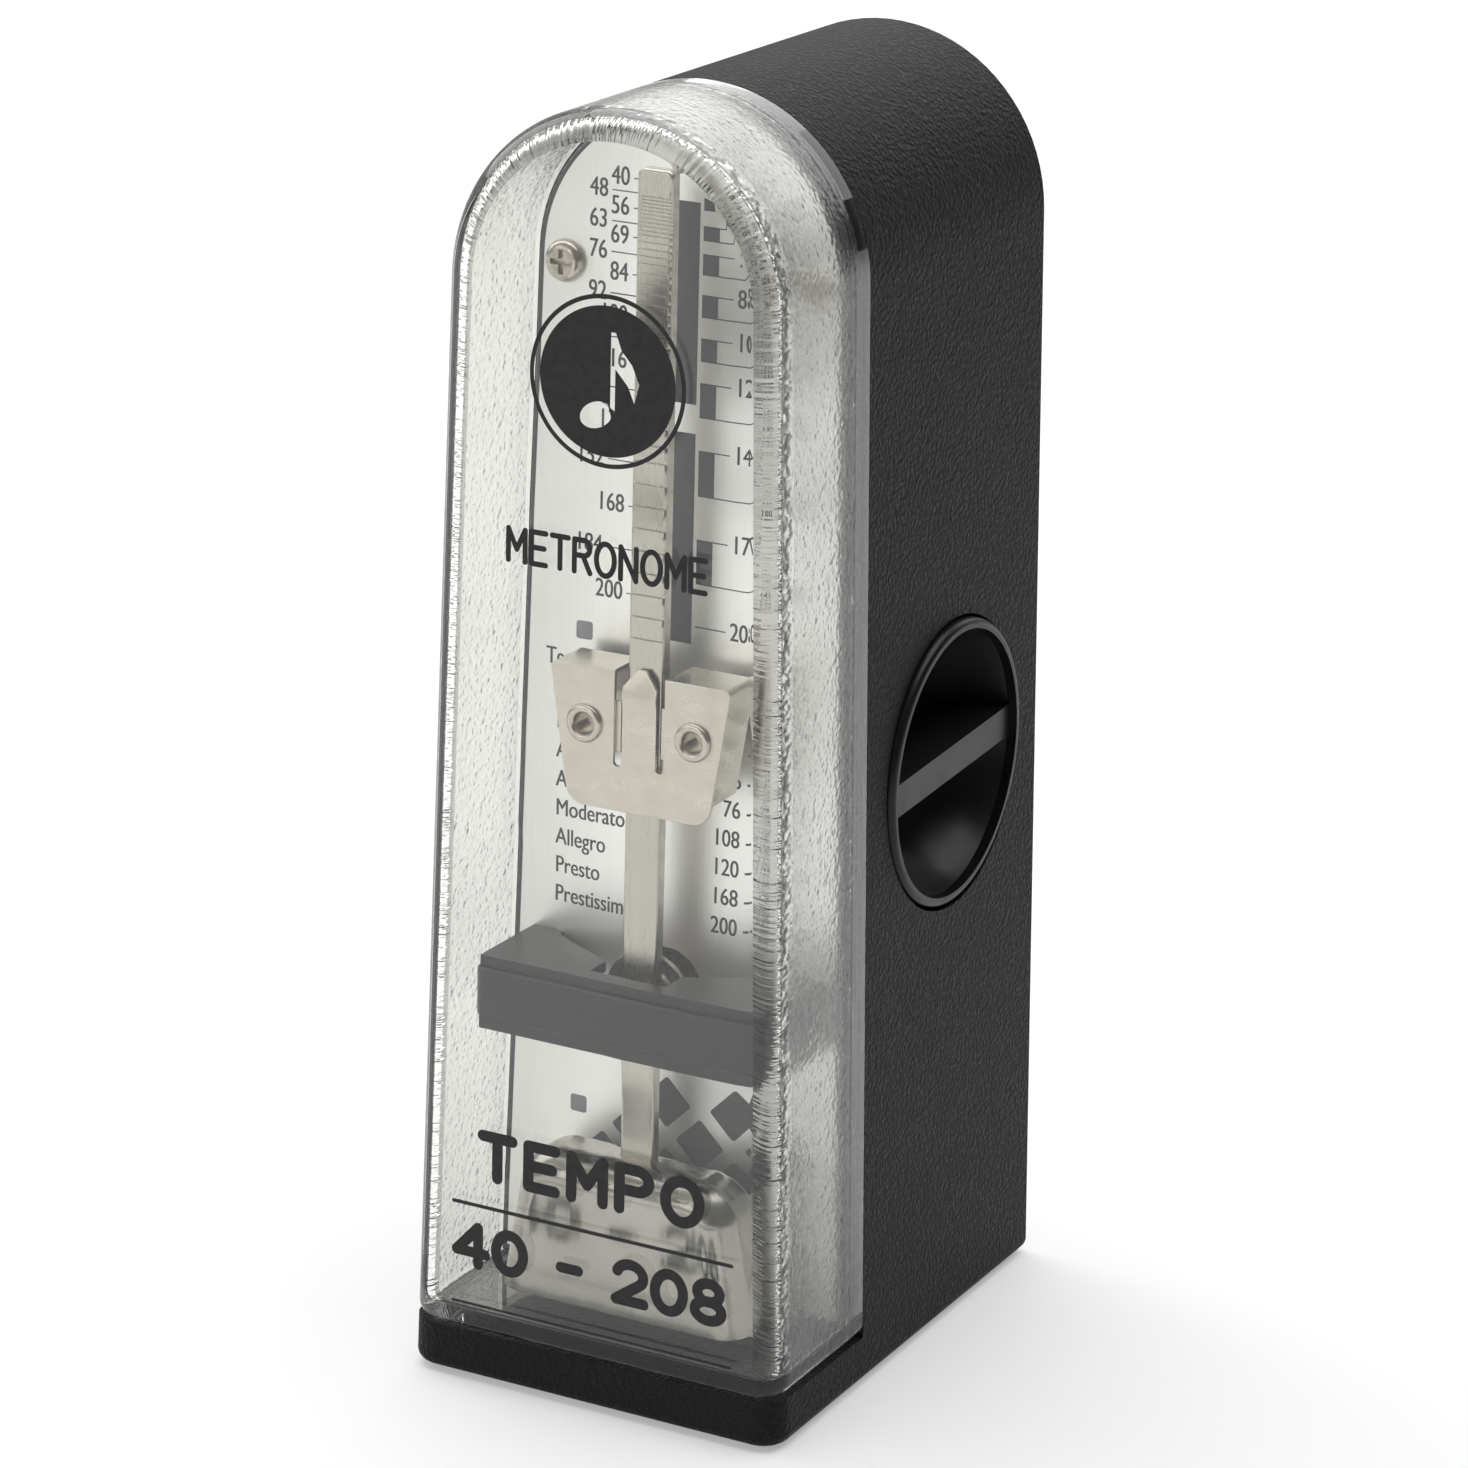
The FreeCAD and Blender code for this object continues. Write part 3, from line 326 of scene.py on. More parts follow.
GREY_INK = ink("grey_ink", (0.075, 0.076, 0.080), (0.095, 0.096, 0.100))
PALE_INK = ink("pale_ink", (0.26, 0.26, 0.28), (0.32, 0.32, 0.34))
WINDOW_INK = ink("window_ink", (0.012, 0.012, 0.013), (0.020, 0.020, 0.021))
CLEAR = clear_plastic()


# ---------------------------------------------------------------- mesh helpers
def new_object(name, mesh, material):
    """Object in the scene with one material."""
    obj = bpy.data.objects.new(name, mesh)
    bpy.context.scene.collection.objects.link(obj)
    mesh.materials.clear()
    mesh.materials.append(material)
    return obj


def smooth(mesh):
    """Smooth shading, except at edges that turn by more than 40 degrees."""
    mesh.shade_smooth()
    mesh.set_sharp_from_angle(angle=math.radians(40))


def applied(obj):
    """Replace the object's mesh by the result of its modifiers."""
    graph = bpy.context.evaluated_depsgraph_get()
    mesh = bpy.data.meshes.new_from_object(obj.evaluated_get(graph))
    obj.modifiers.clear()
    obj.data = mesh


def refined(node, material, bevel, body, segments=2):
    """Detailed copy of a CAD node: clean faces and softly rounded edges."""
    flat_angle, edge_angle = math.radians(0.6), math.radians(32)
    mesh = NODES[node].data.copy()
    work = bmesh.new()
    work.from_mesh(mesh)
    bmesh.ops.remove_doubles(work, verts=work.verts, dist=0.001 * MM)
    bmesh.ops.dissolve_limit(work, angle_limit=flat_angle, verts=work.verts, edges=work.edges)
    work.to_mesh(mesh)
    work.free()
    obj = new_object(node + "_fine", mesh, material)
    modifier = obj.modifiers.new("edges", "BEVEL")
    modifier.width = bevel
    modifier.segments = segments
    modifier.limit_method = "ANGLE"
    modifier.angle_limit = edge_angle
    modifier.use_clamp_overlap = True
    mesh.shade_smooth()
    even = obj.modifiers.new("even", "WEIGHTED_NORMAL")
    even.weight = 100
    even.keep_sharp = False
    applied(obj)
    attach(obj, body)
    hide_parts(node)


# ---------------------------------------------------------------- clear cover
def outline(inset, z_low, y, corner=0.0):
    """Closed arched outline at depth y, moved in by inset, with its foot corners rounded."""
    r = ARCH_R - inset
    lean_sin, lean_cos = math.sin(SIDE_LEAN), math.cos(SIDE_LEAN)
    foot = r / lean_cos + (ARCH_Z - z_low) * math.tan(SIDE_LEAN)
    centre = foot - corner * (1 + lean_sin) / lean_cos
    low = Vector((centre + corner * lean_cos, z_low + corner + corner * lean_sin))
    high = Vector((r * lean_cos, ARCH_Z + r * lean_sin))
    right = []
    for k in range(CORNER_STEPS if corner else 0):
        a = (math.pi / 2 + SIDE_LEAN) * k / CORNER_STEPS - math.pi / 2
        right.append((centre + corner * math.cos(a), z_low + corner + corner * math.sin(a)))
    for k in range(SIDE_STEPS):
        p = low.lerp(high, k / SIDE_STEPS)
        right.append((p.x, p.y))
    points = [(centre * (2 * k / FOOT_STEPS - 1), z_low) for k in range(FOOT_STEPS)]
    points += right
    for k in range(ARC_STEPS):
        a = SIDE_LEAN + (math.pi - 2 * SIDE_LEAN) * k / ARC_STEPS
        points.append((r * math.cos(a), ARCH_Z + r * math.sin(a)))
    points.append((-high.x, high.y))
    points += [(-x, z) for x, z in reversed(right[1:])]
    return [Vector((x, y, z)) for x, z in points]


def rounded_front(inset, y_front, radius, steps):
    """(inset, y) pairs that turn from the side wall into the front face."""
    pairs = []
    for k in range(steps + 1):
        a = math.pi / 2 * k / steps
        pairs.append((inset + radius * (1 - math.cos(a)), y_front + radius * (1 - math.sin(a))))
    return pairs


def foot_lift(y, front, radius):
    """How far the rounded bottom edge lies above the bottom at depth y."""
    t = max(0.0, 1.0 - (y - front) / radius)
    return radius * (1 - math.sqrt(1 - min(t, 1.0) ** 2))


def cover_loops():
    """Outlines of the clear shell, from the window's outer face over the rim to its inner face."""
    y_front, y_rear = COVER_LOW[1] + INK_ROOM, COVER_HIGH[1]
    inner_front = COVER_LOW[1] + WINDOW
    side_front = y_front + FRONT_EDGE_R
    grain_rear = RIM_Y - 0.2 * MM
    outer = [(0.0, y_rear, PLAIN), (0.0, y_rear - 0.25 * MM, PLAIN), (0.0, RIM_Y, PLAIN),
             (0.0, grain_rear, RIPPLED), (0.0, side_front + 0.5 * MM, RIPPLED),
             (0.0, side_front + 0.3 * MM, PLAIN)]
    outer += [(i, y, PLAIN) for i, y in rounded_front(0.0, y_front, FRONT_EDGE_R, 14)]
    inner = [(WALL - RIM_STEP, y_rear, PLAIN), (WALL - RIM_STEP, RIM_Y, PLAIN),
             (WALL, grain_rear, RIPPLED), (WALL, inner_front + INNER_EDGE_R + 0.3 * MM, RIPPLED)]
    inner += [(i, y, RIBBED) for i, y in rounded_front(WALL, inner_front, INNER_EDGE_R, 10)]
    loops = []
    for inset, y, region in reversed(outer):
        z = COVER_LOW[2] + foot_lift(y, y_front, FOOT_EDGE_R)
        loops.append((outline(inset, z, y, FOOT_CORNER_R), region))
    for inset, y, region in inner:
        z = COVER_LOW[2] + WALL + foot_lift(y, inner_front, INNER_FOOT_R)
        loops.append((outline(inset, z, y, INNER_CORNER_R), region))
    return loops


def clear_cover():
    """Closed clear shell, with its outline distance and its regions stored as UV."""
    loops = cover_loops()
    work = bmesh.new()
    uv = work.loops.layers.uv.new("outline")
    rings = [([work.verts.new(p) for p in points], region) for points, region in loops]
    lengths = [0.0]
    for a, b in zip(loops[0][0], loops[0][0][1:] + loops[0][0][:1]):
        lengths.append(lengths[-1] + (b - a).length)

    def quad(corners, spans, regions):
        face = work.faces.new(corners)
        for loop, span, region in zip(face.loops, spans, regions):
            loop[uv].uv = (span, region)

    count = len(rings[0][0])
    for (low, low_region), (high, high_region) in zip(rings, rings[1:]):
        for k in range(count):
            j = (k + 1) % count
            a = PLAIN if k < FOOT_STEPS else low_region
            b = PLAIN if k < FOOT_STEPS else high_region
            quad((low[k], low[j], high[j], high[k]),
                 (lengths[k], lengths[k + 1], lengths[k + 1], lengths[k]), (a, a, b, b))
    for ring in (list(reversed(rings[0][0])), rings[-1][0]):
        for loop in work.faces.new(ring).loops:
            loop[uv].uv = (0.0, PLAIN)
    bmesh.ops.recalc_face_normals(work, faces=work.faces)
    mesh = bpy.data.meshes.new("cover_shell")
    work.to_mesh(mesh)
    work.free()
    obj = new_object("cover_shell", mesh, CLEAR)
    smooth(mesh)
    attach(obj, "cover")
    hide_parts("clear_cover")


clear_cover()


# ---------------------------------------------------------------- metal and plastic pieces
def turned(name, profile, centre, material):
    """Solid of revolution about an axis along Y; profile is a list of (radius, y)."""
    sides = 64
    work = bmesh.new()
    rings = []
    for radius, y in profile:
        if radius == 0.0:
            rings.append([work.verts.new((centre[0], y, centre[1]))] * sides)
            continue
        ring = []
        for k in range(sides):
            a = 2 * math.pi * k / sides
            ring.append(work.verts.new((centre[0] + radius * math.cos(a), y,
                                        centre[1] + radius * math.sin(a))))
        rings.append(ring)
    for low, high in zip(rings, rings[1:]):
        for k in range(sides):
            j = (k + 1) % sides
            corners = list(dict.fromkeys((low[k], low[j], high[j], high[k])))
            work.faces.new(corners)
    bmesh.ops.recalc_face_normals(work, faces=work.faces)
    mesh = bpy.data.meshes.new(name)
    work.to_mesh(mesh)
    work.free()
    obj = new_object(name, mesh, material)
    smooth(mesh)
    return obj


def rivet(node):
    """Half-hollow rivet with a rolled collar."""
    low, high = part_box(node)
    centre = ((low[0] + high[0]) / 2, (low[2] + high[2]) / 2)
    front, rear = low[1], high[1]
    collar = (high[0] - low[0]) / 2
    bore, shank, roll = 1.2 * MM, 1.6 * MM, 0.46 * MM
    sheet = front + 0.6 * MM         # the collar rests here
    bottom = sheet + 1.4 * MM        # of the bore
    steps = 8
    quarter = [math.pi / 2 * k / steps for k in range(steps + 1)]
    profile = [(0.0, bottom), (bore, bottom)]
    profile += [(bore + roll * (1 - math.cos(a)), front + roll * (1 - math.sin(a)))
                for a in quarter]
    profile += [(collar - roll * (1 - math.sin(a)), front + roll * (1 - math.cos(a)))
                for a in quarter]
    profile += [(collar, sheet), (shank, sheet), (shank, rear), (0.0, rear)]
    obj = turned(node + "_fine", profile, centre, NICKEL)
    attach(obj, "slider")
    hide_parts(node)


refined("scale_plate", PLATE, 0.06 * MM, "case")
refined("bridge", BRIDGE, 0.22 * MM, "case", 3)
refined("pendulum_rod", ROD, 0.05 * MM, "pendulum", 1)
refined("counterweight", CHROME, 0.1 * MM, "pendulum")
refined("arbor_hub", NICKEL, 0.1 * MM, "pendulum")
refined("slider_shell", SLIDER, 0.09 * MM, "slider")
refined("slider_block", SLIDER, 0.12 * MM, "slider")
rivet("slider_rivet_left")
rivet("slider_rivet_right")
refined("plate_screw_left", NICKEL, 0.06 * MM, "case")
refined("plate_screw_right", NICKEL, 0.06 * MM, "case")

LOOKS = {
    "black_case": LEATHER, "black_dish": DISH, "foot_rubber": RUBBER,
    "steel_dark": STEEL, "movement_brass": BRASS, "spring_steel": BLUED, "clear_cover": CLEAR,
    "plate_silver": PLATE, "bridge_grey": BRIDGE, "rod_steel": ROD, "weight_chrome": CHROME,
    "slider_steel": SLIDER, "screw_nickel": NICKEL,
}
for node, slot in SLOTS.items():
    cad = NODES[node]
    cad.data.materials.clear()
    cad.data.materials.append(LOOKS[slot])


# ---------------------------------------------------------------- printing
def flat_mesh(curve):
    """Filled mesh of a 2D curve or text in its own XY plane."""
    temp = bpy.data.objects.new("temp", curve)
    bpy.context.scene.collection.objects.link(temp)
    graph = bpy.context.evaluated_depsgraph_get()
    mesh = bpy.data.meshes.new_from_object(temp.evaluated_get(graph))
    bpy.data.objects.remove(temp)
    return mesh


def area(points, face):
    """Signed area of a face, given as indices into points."""
    loop = [points[k] for k in face]
    return sum(p.x * q.y - q.x * p.y for p, q in zip(loop, loop[1:] + loop[:1])) / 2


class Print:
    """One layer of ink: glyphs and bars gathered into one thin mesh facing -Y."""

    def __init__(self, y):
        self.y = y
        self.points = []
        self.faces = []

    def add_face(self, points):
        """One face from (x, z) points in metres."""
        start = len(self.points)
        self.points += [Vector((px / MM, pz / MM)) for px, pz in points]
        self.faces.append(list(range(start, start + len(points))))

    def add_mesh(self, mesh, matrix):
        """Faces of a flat mesh, placed by the matrix; the mesh is used up."""
        start = len(self.points)
        for v in mesh.vertices:
            p = matrix @ v.co
            self.points.append(Vector((p.x / MM, p.y / MM)))
        for face in mesh.polygons:
            self.faces.append([start + k for k in face.vertices])
        bpy.data.meshes.remove(mesh)

    def text(self, words, x, z, height, narrow, align="LEFT"):
        """Words whose capitals are height tall; x is the given edge and z the baseline."""
        curve = bpy.data.curves.new("words", "FONT")
        curve.body = words
        curve.align_x = align
        curve.resolution_u = LETTER_STEPS
        size = height / CAP_HEIGHT
        for shift in (-BOLD / 2, BOLD / 2):
            place = (Matrix.Translation((x + shift, z, 0))
                     @ Matrix.Diagonal((size * narrow, size, 1, 1)))
            self.add_mesh(flat_mesh(curve), place)

    def bar(self, x0, x1, z0, z1, corner=0.0, turn=0.0):
        """Filled rectangle with rounded corners, turned about its centre."""
        half_x, half_z = (x1 - x0) / 2, (z1 - z0) / 2
        centre = ((x0 + x1) / 2, (z0 + z1) / 2)
        points = []
        steps = 5 if corner else 0
        for sx, sz, start in ((1, 1, 0), (-1, 1, 90), (-1, -1, 180), (1, -1, 270)):
            for k in range(steps + 1):
                a = math.radians(start + 90 * (k / max(steps, 1)))
                px = sx * (half_x - corner) + corner * math.cos(a)
                pz = sz * (half_z - corner) + corner * math.sin(a)
                points.append((px, pz))
        ca, sa = math.cos(math.radians(turn)), math.sin(math.radians(turn))
        self.add_face([(centre[0] + px * ca - pz * sa, centre[1] + px * sa + pz * ca)
                       for px, pz in points])

    def pen(self, points, width):
        """Line of constant width with rounded ends and joints, as overlapping faces."""
        half = width / 2
        for (ax, az), (bx, bz) in zip(points, points[1:]):
            run = Vector((bx - ax, bz - az))
            if run.length < 1e-9:    # the same place twice
                continue
            side = Vector((-run.y, run.x)).normalized() * half
            start = math.degrees(math.atan2(side.y, side.x))
            self.add_face(arc_points(ax, az, half, half, start, start + 180, CAP_STEPS)
                          + arc_points(bx, bz, half, half, start + 180, start + 360, CAP_STEPS))

    def finish(self, name, material, body, slot):
        """Merge the shapes, give the ink its thickness towards +Y, and hand it over.

        A sliver among the shapes can claim the whole layer in the merge, so a shape that
        claims more than its own area doesn't count.
        """
        least, slack = 1e-5, 1e-3    # square millimetres
        whole = [face for face in self.faces if area(self.points, face) > least]
        flat = geometry.delaunay_2d_cdt(self.points, [], whole, 1, least)
        verts, faces, owners = flat[0], flat[2], flat[5]
        claimed = [0.0] * len(whole)
        for face, owner in zip(faces, owners):
            for k in owner:
                claimed[k] += area(verts, face)
        real = [claim < 1.1 * area(self.points, face) + slack
                for claim, face in zip(claimed, whole)]
        work = bmesh.new()
        made = [work.verts.new((v.x * MM, self.y, v.y * MM)) for v in verts]
        for face, owner in zip(faces, owners):
            if any(real[k] for k in owner):
                work.faces.new([made[k] for k in face])
        work.normal_update()
        bmesh.ops.dissolve_limit(work, angle_limit=0.001, verts=work.verts, edges=work.edges)
        bmesh.ops.triangulate(work, faces=work.faces)
        for face in work.faces:
            face.normal_update()
            if face.normal.y > 0:
                face.normal_flip()
        loose = [v for v in work.verts if not v.link_faces]
        bmesh.ops.delete(work, geom=loose, context="VERTS")
        mesh = bpy.data.meshes.new(name)
        work.to_mesh(mesh)
        work.free()
        obj = new_object(name, mesh, material)
        thick = obj.modifiers.new("thick", "SOLIDIFY")
        thick.thickness = PRINT_T
        thick.offset = -1.0
        applied(obj)
        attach(obj, body)


def arc_points(cx, cz, rx, rz, start, end, steps=14):
    """Points of an arc, from one angle to another in degrees."""
    return [(cx + rx * math.cos(math.radians(start + (end - start) * k / steps)),
             cz + rz * math.sin(math.radians(start + (end - start) * k / steps)))
            for k in range(steps + 1)]


def measure_capitals():
    """Height of a capital in a text of size 1."""
    curve = bpy.data.curves.new("words", "FONT")
    curve.body = "H"
    mesh = flat_mesh(curve)
    tall = max(v.co.y for v in mesh.vertices)
    bpy.data.meshes.remove(mesh)
    return tall


CAP_HEIGHT = measure_capitals()


def mark_height(tempo):
    """Height of the mark for a tempo, by the rod pendulum's formula."""
    def rate(h):
        return math.sqrt((SCALE_A - h) / (SCALE_B + h * h))

    low = SCALE_FOOT - PIVOT_Z
    high = SCALE_TOP - PIVOT_Z
    span = (rate(low) - rate(high)) / (TEMPOS[-1] - TEMPOS[0])
    wanted = rate(high) + span * (tempo - TEMPOS[0])
    for _ in range(HALVINGS):
        middle = (low + high) / 2
        if rate(middle) > wanted:
            low = middle
        else:
            high = middle
    return PIVOT_Z + middle


def tempo_scale():
    """Numbers and lines on both sides of a dark centre stripe."""
    dark = Print(PLATE_FACE - PRINT_T)
    grey = Print(PLATE_FACE - PRINT_T)
    line, tall, narrow = 0.13 * MM, 2.05 * MM, 0.78
    sink = tall * 0.42               # from a mark down to the baseline of its number
    gap = 0.5 * MM                   # between a number and its line
    stripe_left, stripe_right = -1.5 * MM, 1.95 * MM
    line_left, line_right = -1.7 * MM, 2.4 * MM
    block_right = 4.4 * MM
    for k, tempo in enumerate(LEFT_TEMPOS):
        z = mark_height(tempo)
        near = k % 2 == 0
        edge = -6.9 * MM if near else -9.6 * MM
        dark.text(str(tempo), edge, z - sink, tall, narrow, "RIGHT")
        dark.bar(edge + gap, line_left, z - line / 2, z + line / 2)
    for k, tempo in enumerate(RIGHT_TEMPOS):
        z = mark_height(tempo)
        near = k % 2 == 0
        edge = 6.8 * MM if near else 10.2 * MM
        dark.text(str(tempo), edge, z - sink, tall, narrow, "LEFT")
        dark.bar(line_right, edge - gap, z - line / 2, z + line / 2)
        if not near:
            above = mark_height(RIGHT_TEMPOS[k - 1])
            grey.bar(line_right, block_right, z, above)
    for low, high in ((114.8 * MM, 137.4 * MM), (87.3 * MM, 111.5 * MM)):
        grey.bar(stripe_left, stripe_right, low, high)
    return dark, grey


def tempo_table(dark):
    """Names of the tempi with their ranges."""
    rows = [("Largo", "40", "60"), ("Larghetto", "60", "66"), ("Adagio", "66", "76"),
            ("Andante", "76", "108"), ("Moderato", "108", "120"), ("Allegro", "120", "168"),
            ("Presto", "168", "200"), ("Prestissimo", "200", "208")]
    head, top, step = 82.3 * MM, 78.3 * MM, 3.47 * MM
    tall, narrow = 1.95 * MM, 0.8
    head_x, name_x, low_x, dash_x, high_x = (x * MM for x in (-16.6, -15.1, 8.8, 9.5, 14.4))
    dark.text("Tempo", head_x, head, tall, narrow)
    for k, (name, low, high) in enumerate(rows):
        z = top - step * k
        dark.text(name, name_x, z, tall, narrow)
        dark.text(low, low_x, z, tall, narrow, "RIGHT")
        dark.text("-", dash_x, z, tall, narrow)
        dark.text(high, high_x, z, tall, narrow, "RIGHT")


def squares(grey):
    """Two small rounded squares, and an even group of squares set on their corners."""
    corner = 0.35 * MM

    def square(layer, x, z, side, turn):
        layer.bar((x - side / 2) * MM, (x + side / 2) * MM, (z - side / 2) * MM,
                  (z + side / 2) * MM, corner, turn)

    pale = Print(PLATE_FACE - PRINT_T)
    for z in (86.8, 29.4):
        square(pale, -11.65, z, 2.1, 0.0)
    group_x, group_z, pitch = 0.4, 32.4, 4.4
    for row, steps in enumerate(((0, 2), (-1, 1, 3), (-2, 0, 2))):
        for step in steps:
            square(grey, group_x + pitch * step, group_z - pitch * row, 4.5, 45.0)
    pale.finish("plate_print_pale", PALE_INK, "case", "plate_silver")


def plate_border(dark):
    """Thin dark band laid just inside the edge of the plate: inset and foot of its two outlines."""
    outer = outline(2.53 * MM, 8.93 * MM, dark.y)
    inner = outline(2.98 * MM, 9.4 * MM, dark.y)
    for a, b, c, d in zip(outer, inner, inner[1:] + inner[:1], outer[1:] + outer[:1]):
        dark.add_face([(a.x, a.z), (d.x, d.z), (c.x, c.z), (b.x, b.z)])


dark_print, grey_print = tempo_scale()
tempo_table(dark_print)
plate_border(dark_print)
squares(grey_print)
dark_print.finish("plate_print_dark", PLATE_INK, "case", "plate_silver")
grey_print.finish("plate_print_grey", GREY_INK, "case", "plate_silver")


def note_disc(layer, x, z, radius):
    """Round disc with an eighth note left open in it."""
    curve = bpy.data.curves.new("disc", "CURVE")
    curve.dimensions = "2D"
    curve.fill_mode = "BOTH"

    def ring(points):
        """Closed line through points that are given in radii of the disc."""
        spline = curve.splines.new("POLY")
        spline.points.add(len(points) - 1)
        for point, (px, pz) in zip(spline.points, points):
            point.co = (px * radius, pz * radius, 0, 1)
        spline.use_cyclic_u = True

    ring(arc_points(0, 0, 1, 1, 0, 360, 96)[:-1])
    head_x, head_z, head_long, head_short, head_tilt = -0.16, -0.46, 0.25, 0.17, math.radians(24)
    stem_left, stem_right = 0.045, 0.115
    head = []
    for hx, hz in arc_points(0, 0, head_long, head_short, 0, 360, 40)[:-1]:
        px = head_x + hx * math.cos(head_tilt) - hz * math.sin(head_tilt)
        pz = head_z + hx * math.sin(head_tilt) + hz * math.cos(head_tilt)
        if px <= stem_left - 0.02 or pz <= head_z:
            head.append((px, pz))
    start = max(range(len(head)), key=lambda i: head[i][1])
    flag = [(stem_right, -0.40), (stem_right, 0.18), (0.30, -0.02), (0.40, -0.24), (0.47, 0.02),
            (0.36, 0.26), (0.20, 0.44), (stem_right, 0.66), (stem_left, 0.66), (stem_left, -0.33)]
    ring(head[start:] + head[:start] + flag)
    layer.add_mesh(flat_mesh(curve), Matrix.Translation((x, z, 0)))


# Stroke letters on a grid 4 wide and GRID_TALL tall; each entry is a list of polylines.
GRID_TALL = 6
STROKES = {
    "M": [[(0, 0), (0, 6), (2, 2.2), (4, 6), (4, 0)]],
    "E": [[(3.4, 0), (0, 0), (0, 6), (3.4, 6)], [(0, 3.1), (3.0, 3.1)]],
    "T": [[(0, 6), (3.8, 6)], [(1.9, 6), (1.9, 0)]],
    "R": [[(0, 0), (0, 6), (2.2, 6)] + arc_points(2.2, 4.55, 1.4, 1.45, 90, -90) + [(0, 3.1)],
          [(2.0, 3.1), (3.7, 0)]],
    "O": [arc_points(2.1, 3, 2.1, 3, 90, 450, 40)],
    "N": [[(0, 0), (0, 6), (3.6, 0), (3.6, 6)]],
    "P": [[(0, 0), (0, 6), (2.2, 6)] + arc_points(2.2, 4.45, 1.5, 1.55, 90, -90) + [(0, 2.9)]],
    "4": [[(3.0, 0), (3.0, 6), (0, 1.8), (4, 1.8)]],
    "0": [arc_points(1.9, 3, 1.9, 3, 90, 450, 40)],
    "2": [arc_points(1.9, 4.15, 1.8, 1.85, 165, -35) + [(0, 0), (3.8, 0)]],
    "8": [arc_points(1.9, 4.5, 1.5, 1.5, -90, 270, 30),
          arc_points(1.9, 1.55, 1.8, 1.55, 90, 450, 30)],
    "-": [[(0.2, 2.9), (2.6, 2.9)]],
}

# Width of each letter on the grid.
ADVANCE = {"M": 4, "E": 3.4, "T": 3.8, "R": 3.7, "O": 4.2, "N": 3.6, "P": 3.7, "4": 4, "0": 3.8,
           "2": 3.8, "8": 3.8, "-": 2.8, " ": 2.0}


def stroke_word(layer, word, x0, x1, z0, z1, pen, gap):
    """Word of constant-width strokes that fills the box; gap is in grid units."""
    width = sum(ADVANCE[c] for c in word) + gap * (len(word) - 1)
    fit_x = (x1 - x0 - pen) / width
    fit_z = (z1 - z0 - pen) / GRID_TALL
    cursor = 0.0
    for c in word:
        for line in STROKES.get(c, []):
            pts = [(x0 + pen / 2 + (cursor + px) * fit_x, z0 + pen / 2 + pz * fit_z)
                   for px, pz in line]
            layer.pen(pts, pen)
        cursor += ADVANCE[c] + gap


def window_print():
    """Generic printing on the window: a badge, three lines of words and two rules."""
    layer = Print(COVER_LOW[1])
    badge_x, badge_z = 0.3 * MM, 120.8 * MM
    ring_r = 9.3 * MM
    rule = 18.2 * MM
    note_disc(layer, badge_x, badge_z, 8.3 * MM)
    layer.pen(arc_points(badge_x, badge_z, ring_r, ring_r, 0, 360, 120), 0.5 * MM)
    stroke_word(layer, "METRONOME", -12.0 * MM, 13.0 * MM, 98.9 * MM, 103.1 * MM, 0.62 * MM, 1.5)
    stroke_word(layer, "TEMPO", -14.9 * MM, 14.4 * MM, 25.2 * MM, 31.5 * MM, 1.38 * MM, 2.1)
    layer.bar(-rule, rule, 21.8 * MM, 22.25 * MM, 0.2 * MM)
    layer.bar(-rule, rule, 9.5 * MM, 9.8 * MM, 0.1 * MM)
    stroke_word(layer, "40 - 208", -rule, 17.6 * MM, 14.1 * MM, 19.9 * MM, 1.3 * MM, 1.5)
    layer.finish("window_print", WINDOW_INK, "cover", "black_case")


window_print()


# ---------------------------------------------------------------- stage, light and camera
def stage_floor():
    """Plain pale floor, lit a little from within so that it comes out white."""
    size = 6.0
    mesh = bpy.data.meshes.new("floor")
    mesh.from_pydata([(-size, -size, 0), (size, -size, 0), (size, size, 0), (-size, size, 0)],
                     [], [(0, 1, 2, 3)])
    m = Nodes("floor_paper")
    m.link(m.ramp(m.noise(3.0), [(0.3, 0.55), (0.7, 0.57)]), m.shader.inputs["Base Color"])
    m.set(Roughness=0.9, Specular_IOR_Level=0.1, Emission_Color=rgba(1.0, 1.0, 1.0),
          Emission_Strength=0.34)
    new_object("floor", mesh, m.material)


def lamp(name, place, size, power):
    """Soft rectangular lamp, turned towards the middle of the metronome."""
    aim = Vector((0.0, 0.0, 0.07))
    data = bpy.data.lights.new(name, "AREA")
    data.shape = "RECTANGLE"
    data.size, data.size_y = size
    data.energy = power
    obj = bpy.data.objects.new(name, data)
    bpy.context.scene.collection.objects.link(obj)
    obj.location = place
    obj.rotation_euler = (aim - Vector(place)).to_track_quat("-Z", "Y").to_euler()


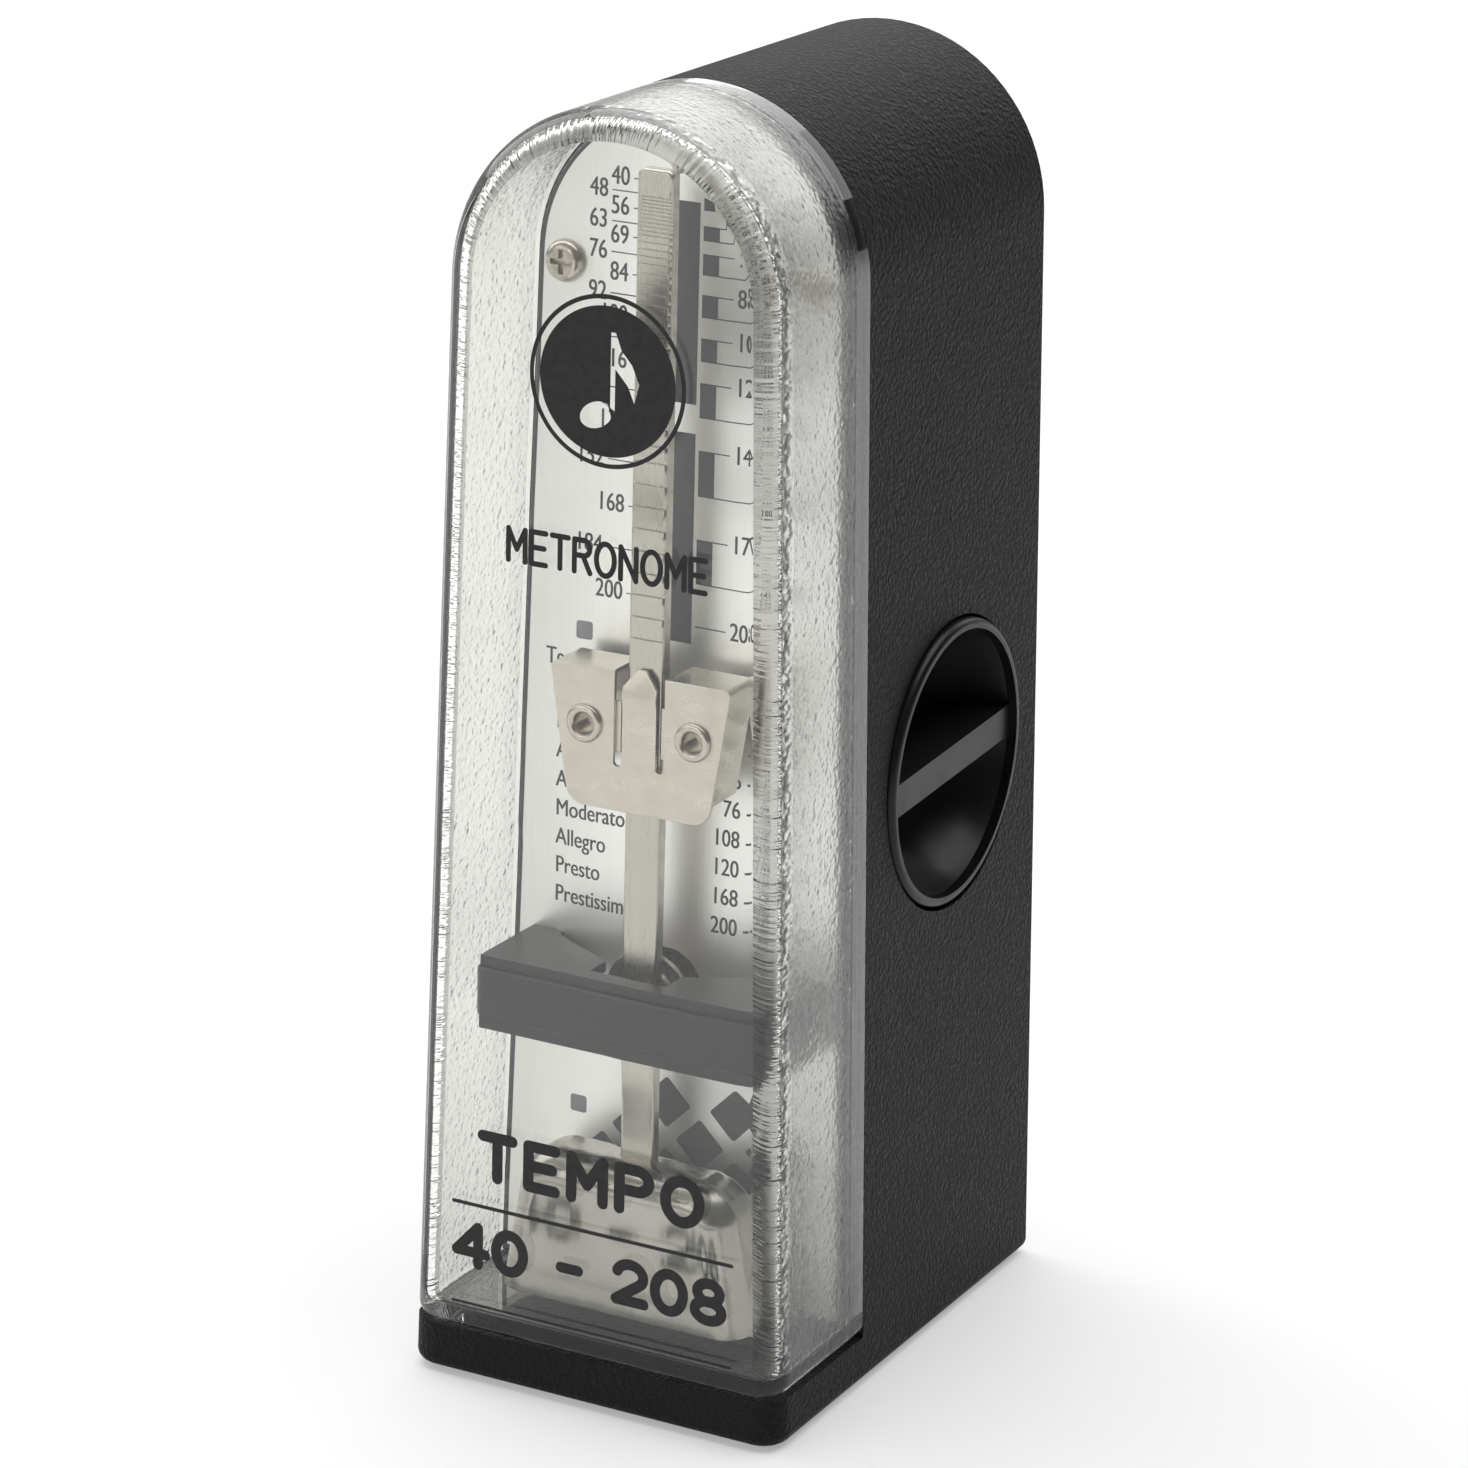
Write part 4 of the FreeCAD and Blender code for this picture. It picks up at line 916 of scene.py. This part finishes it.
def world_light():
    """Dim studio, brighter on the left than on the right."""
    world = bpy.data.worlds.new("studio")
    world.use_nodes = True
    tree = world.node_tree
    background = tree.nodes["Background"]
    coords = tree.nodes.new("ShaderNodeTexCoord")
    split = tree.nodes.new("ShaderNodeSeparateXYZ")
    ramp = tree.nodes.new("ShaderNodeValToRGB")
    tree.links.new(coords.outputs["Generated"], split.inputs[0])
    tree.links.new(split.outputs[0], ramp.inputs[0])
    ramp.color_ramp.elements[0].position = 0.0
    ramp.color_ramp.elements[0].color = rgba(0.36, 0.36, 0.35)
    ramp.color_ramp.elements[1].position = 0.5
    ramp.color_ramp.elements[1].color = rgba(0.05, 0.05, 0.05)
    tree.links.new(ramp.outputs[0], background.inputs[0])
    background.inputs[1].default_value = 1.0
    bpy.context.scene.world = world


def camera():
    """Camera fitted to the photograph: angles, distance, roll and shift off the centre."""
    azimuth, elevation, roll = math.radians(27.548), math.radians(18.123), math.radians(1.443)
    distance = 591.2 * MM
    right = Vector((math.cos(azimuth), math.sin(azimuth), 0))
    back = Vector((math.sin(azimuth) * math.cos(elevation),
                   -math.cos(azimuth) * math.cos(elevation), math.sin(elevation)))
    up = back.cross(right)
    shift_right, shift_up = -0.769 * MM, -2.978 * MM
    middle = Vector((0, 0, CASE_TOP / 2))
    target = middle + right * shift_right + up * shift_up
    across = right * math.cos(roll) + up * math.sin(roll)
    upward = up * math.cos(roll) - right * math.sin(roll)
    data = bpy.data.cameras.new("camera")
    data.sensor_width = 36.0
    data.lens = 126.07
    data.clip_start = 0.01
    obj = bpy.data.objects.new("camera", data)
    bpy.context.scene.collection.objects.link(obj)
    turn = Matrix((across, upward, back)).transposed().to_4x4()
    obj.matrix_world = Matrix.Translation(target + back * distance) @ turn
    bpy.context.scene.camera = obj


stage_floor()
world_light()
lamp("top", (0.0, 0.35, 1.5), (2.3, 1.4), 30.0)
lamp("back", (-0.1, 1.5, 0.75), (1.8, 0.8), 6.2)
lamp("left", (-1.1, 0.1, 0.75), (0.8, 0.9), 5.0)
lamp("front", (-0.55, -1.25, 0.62), (1.3, 0.8), 4.3)
bpy.context.scene.view_settings.view_transform = "Standard"
camera()
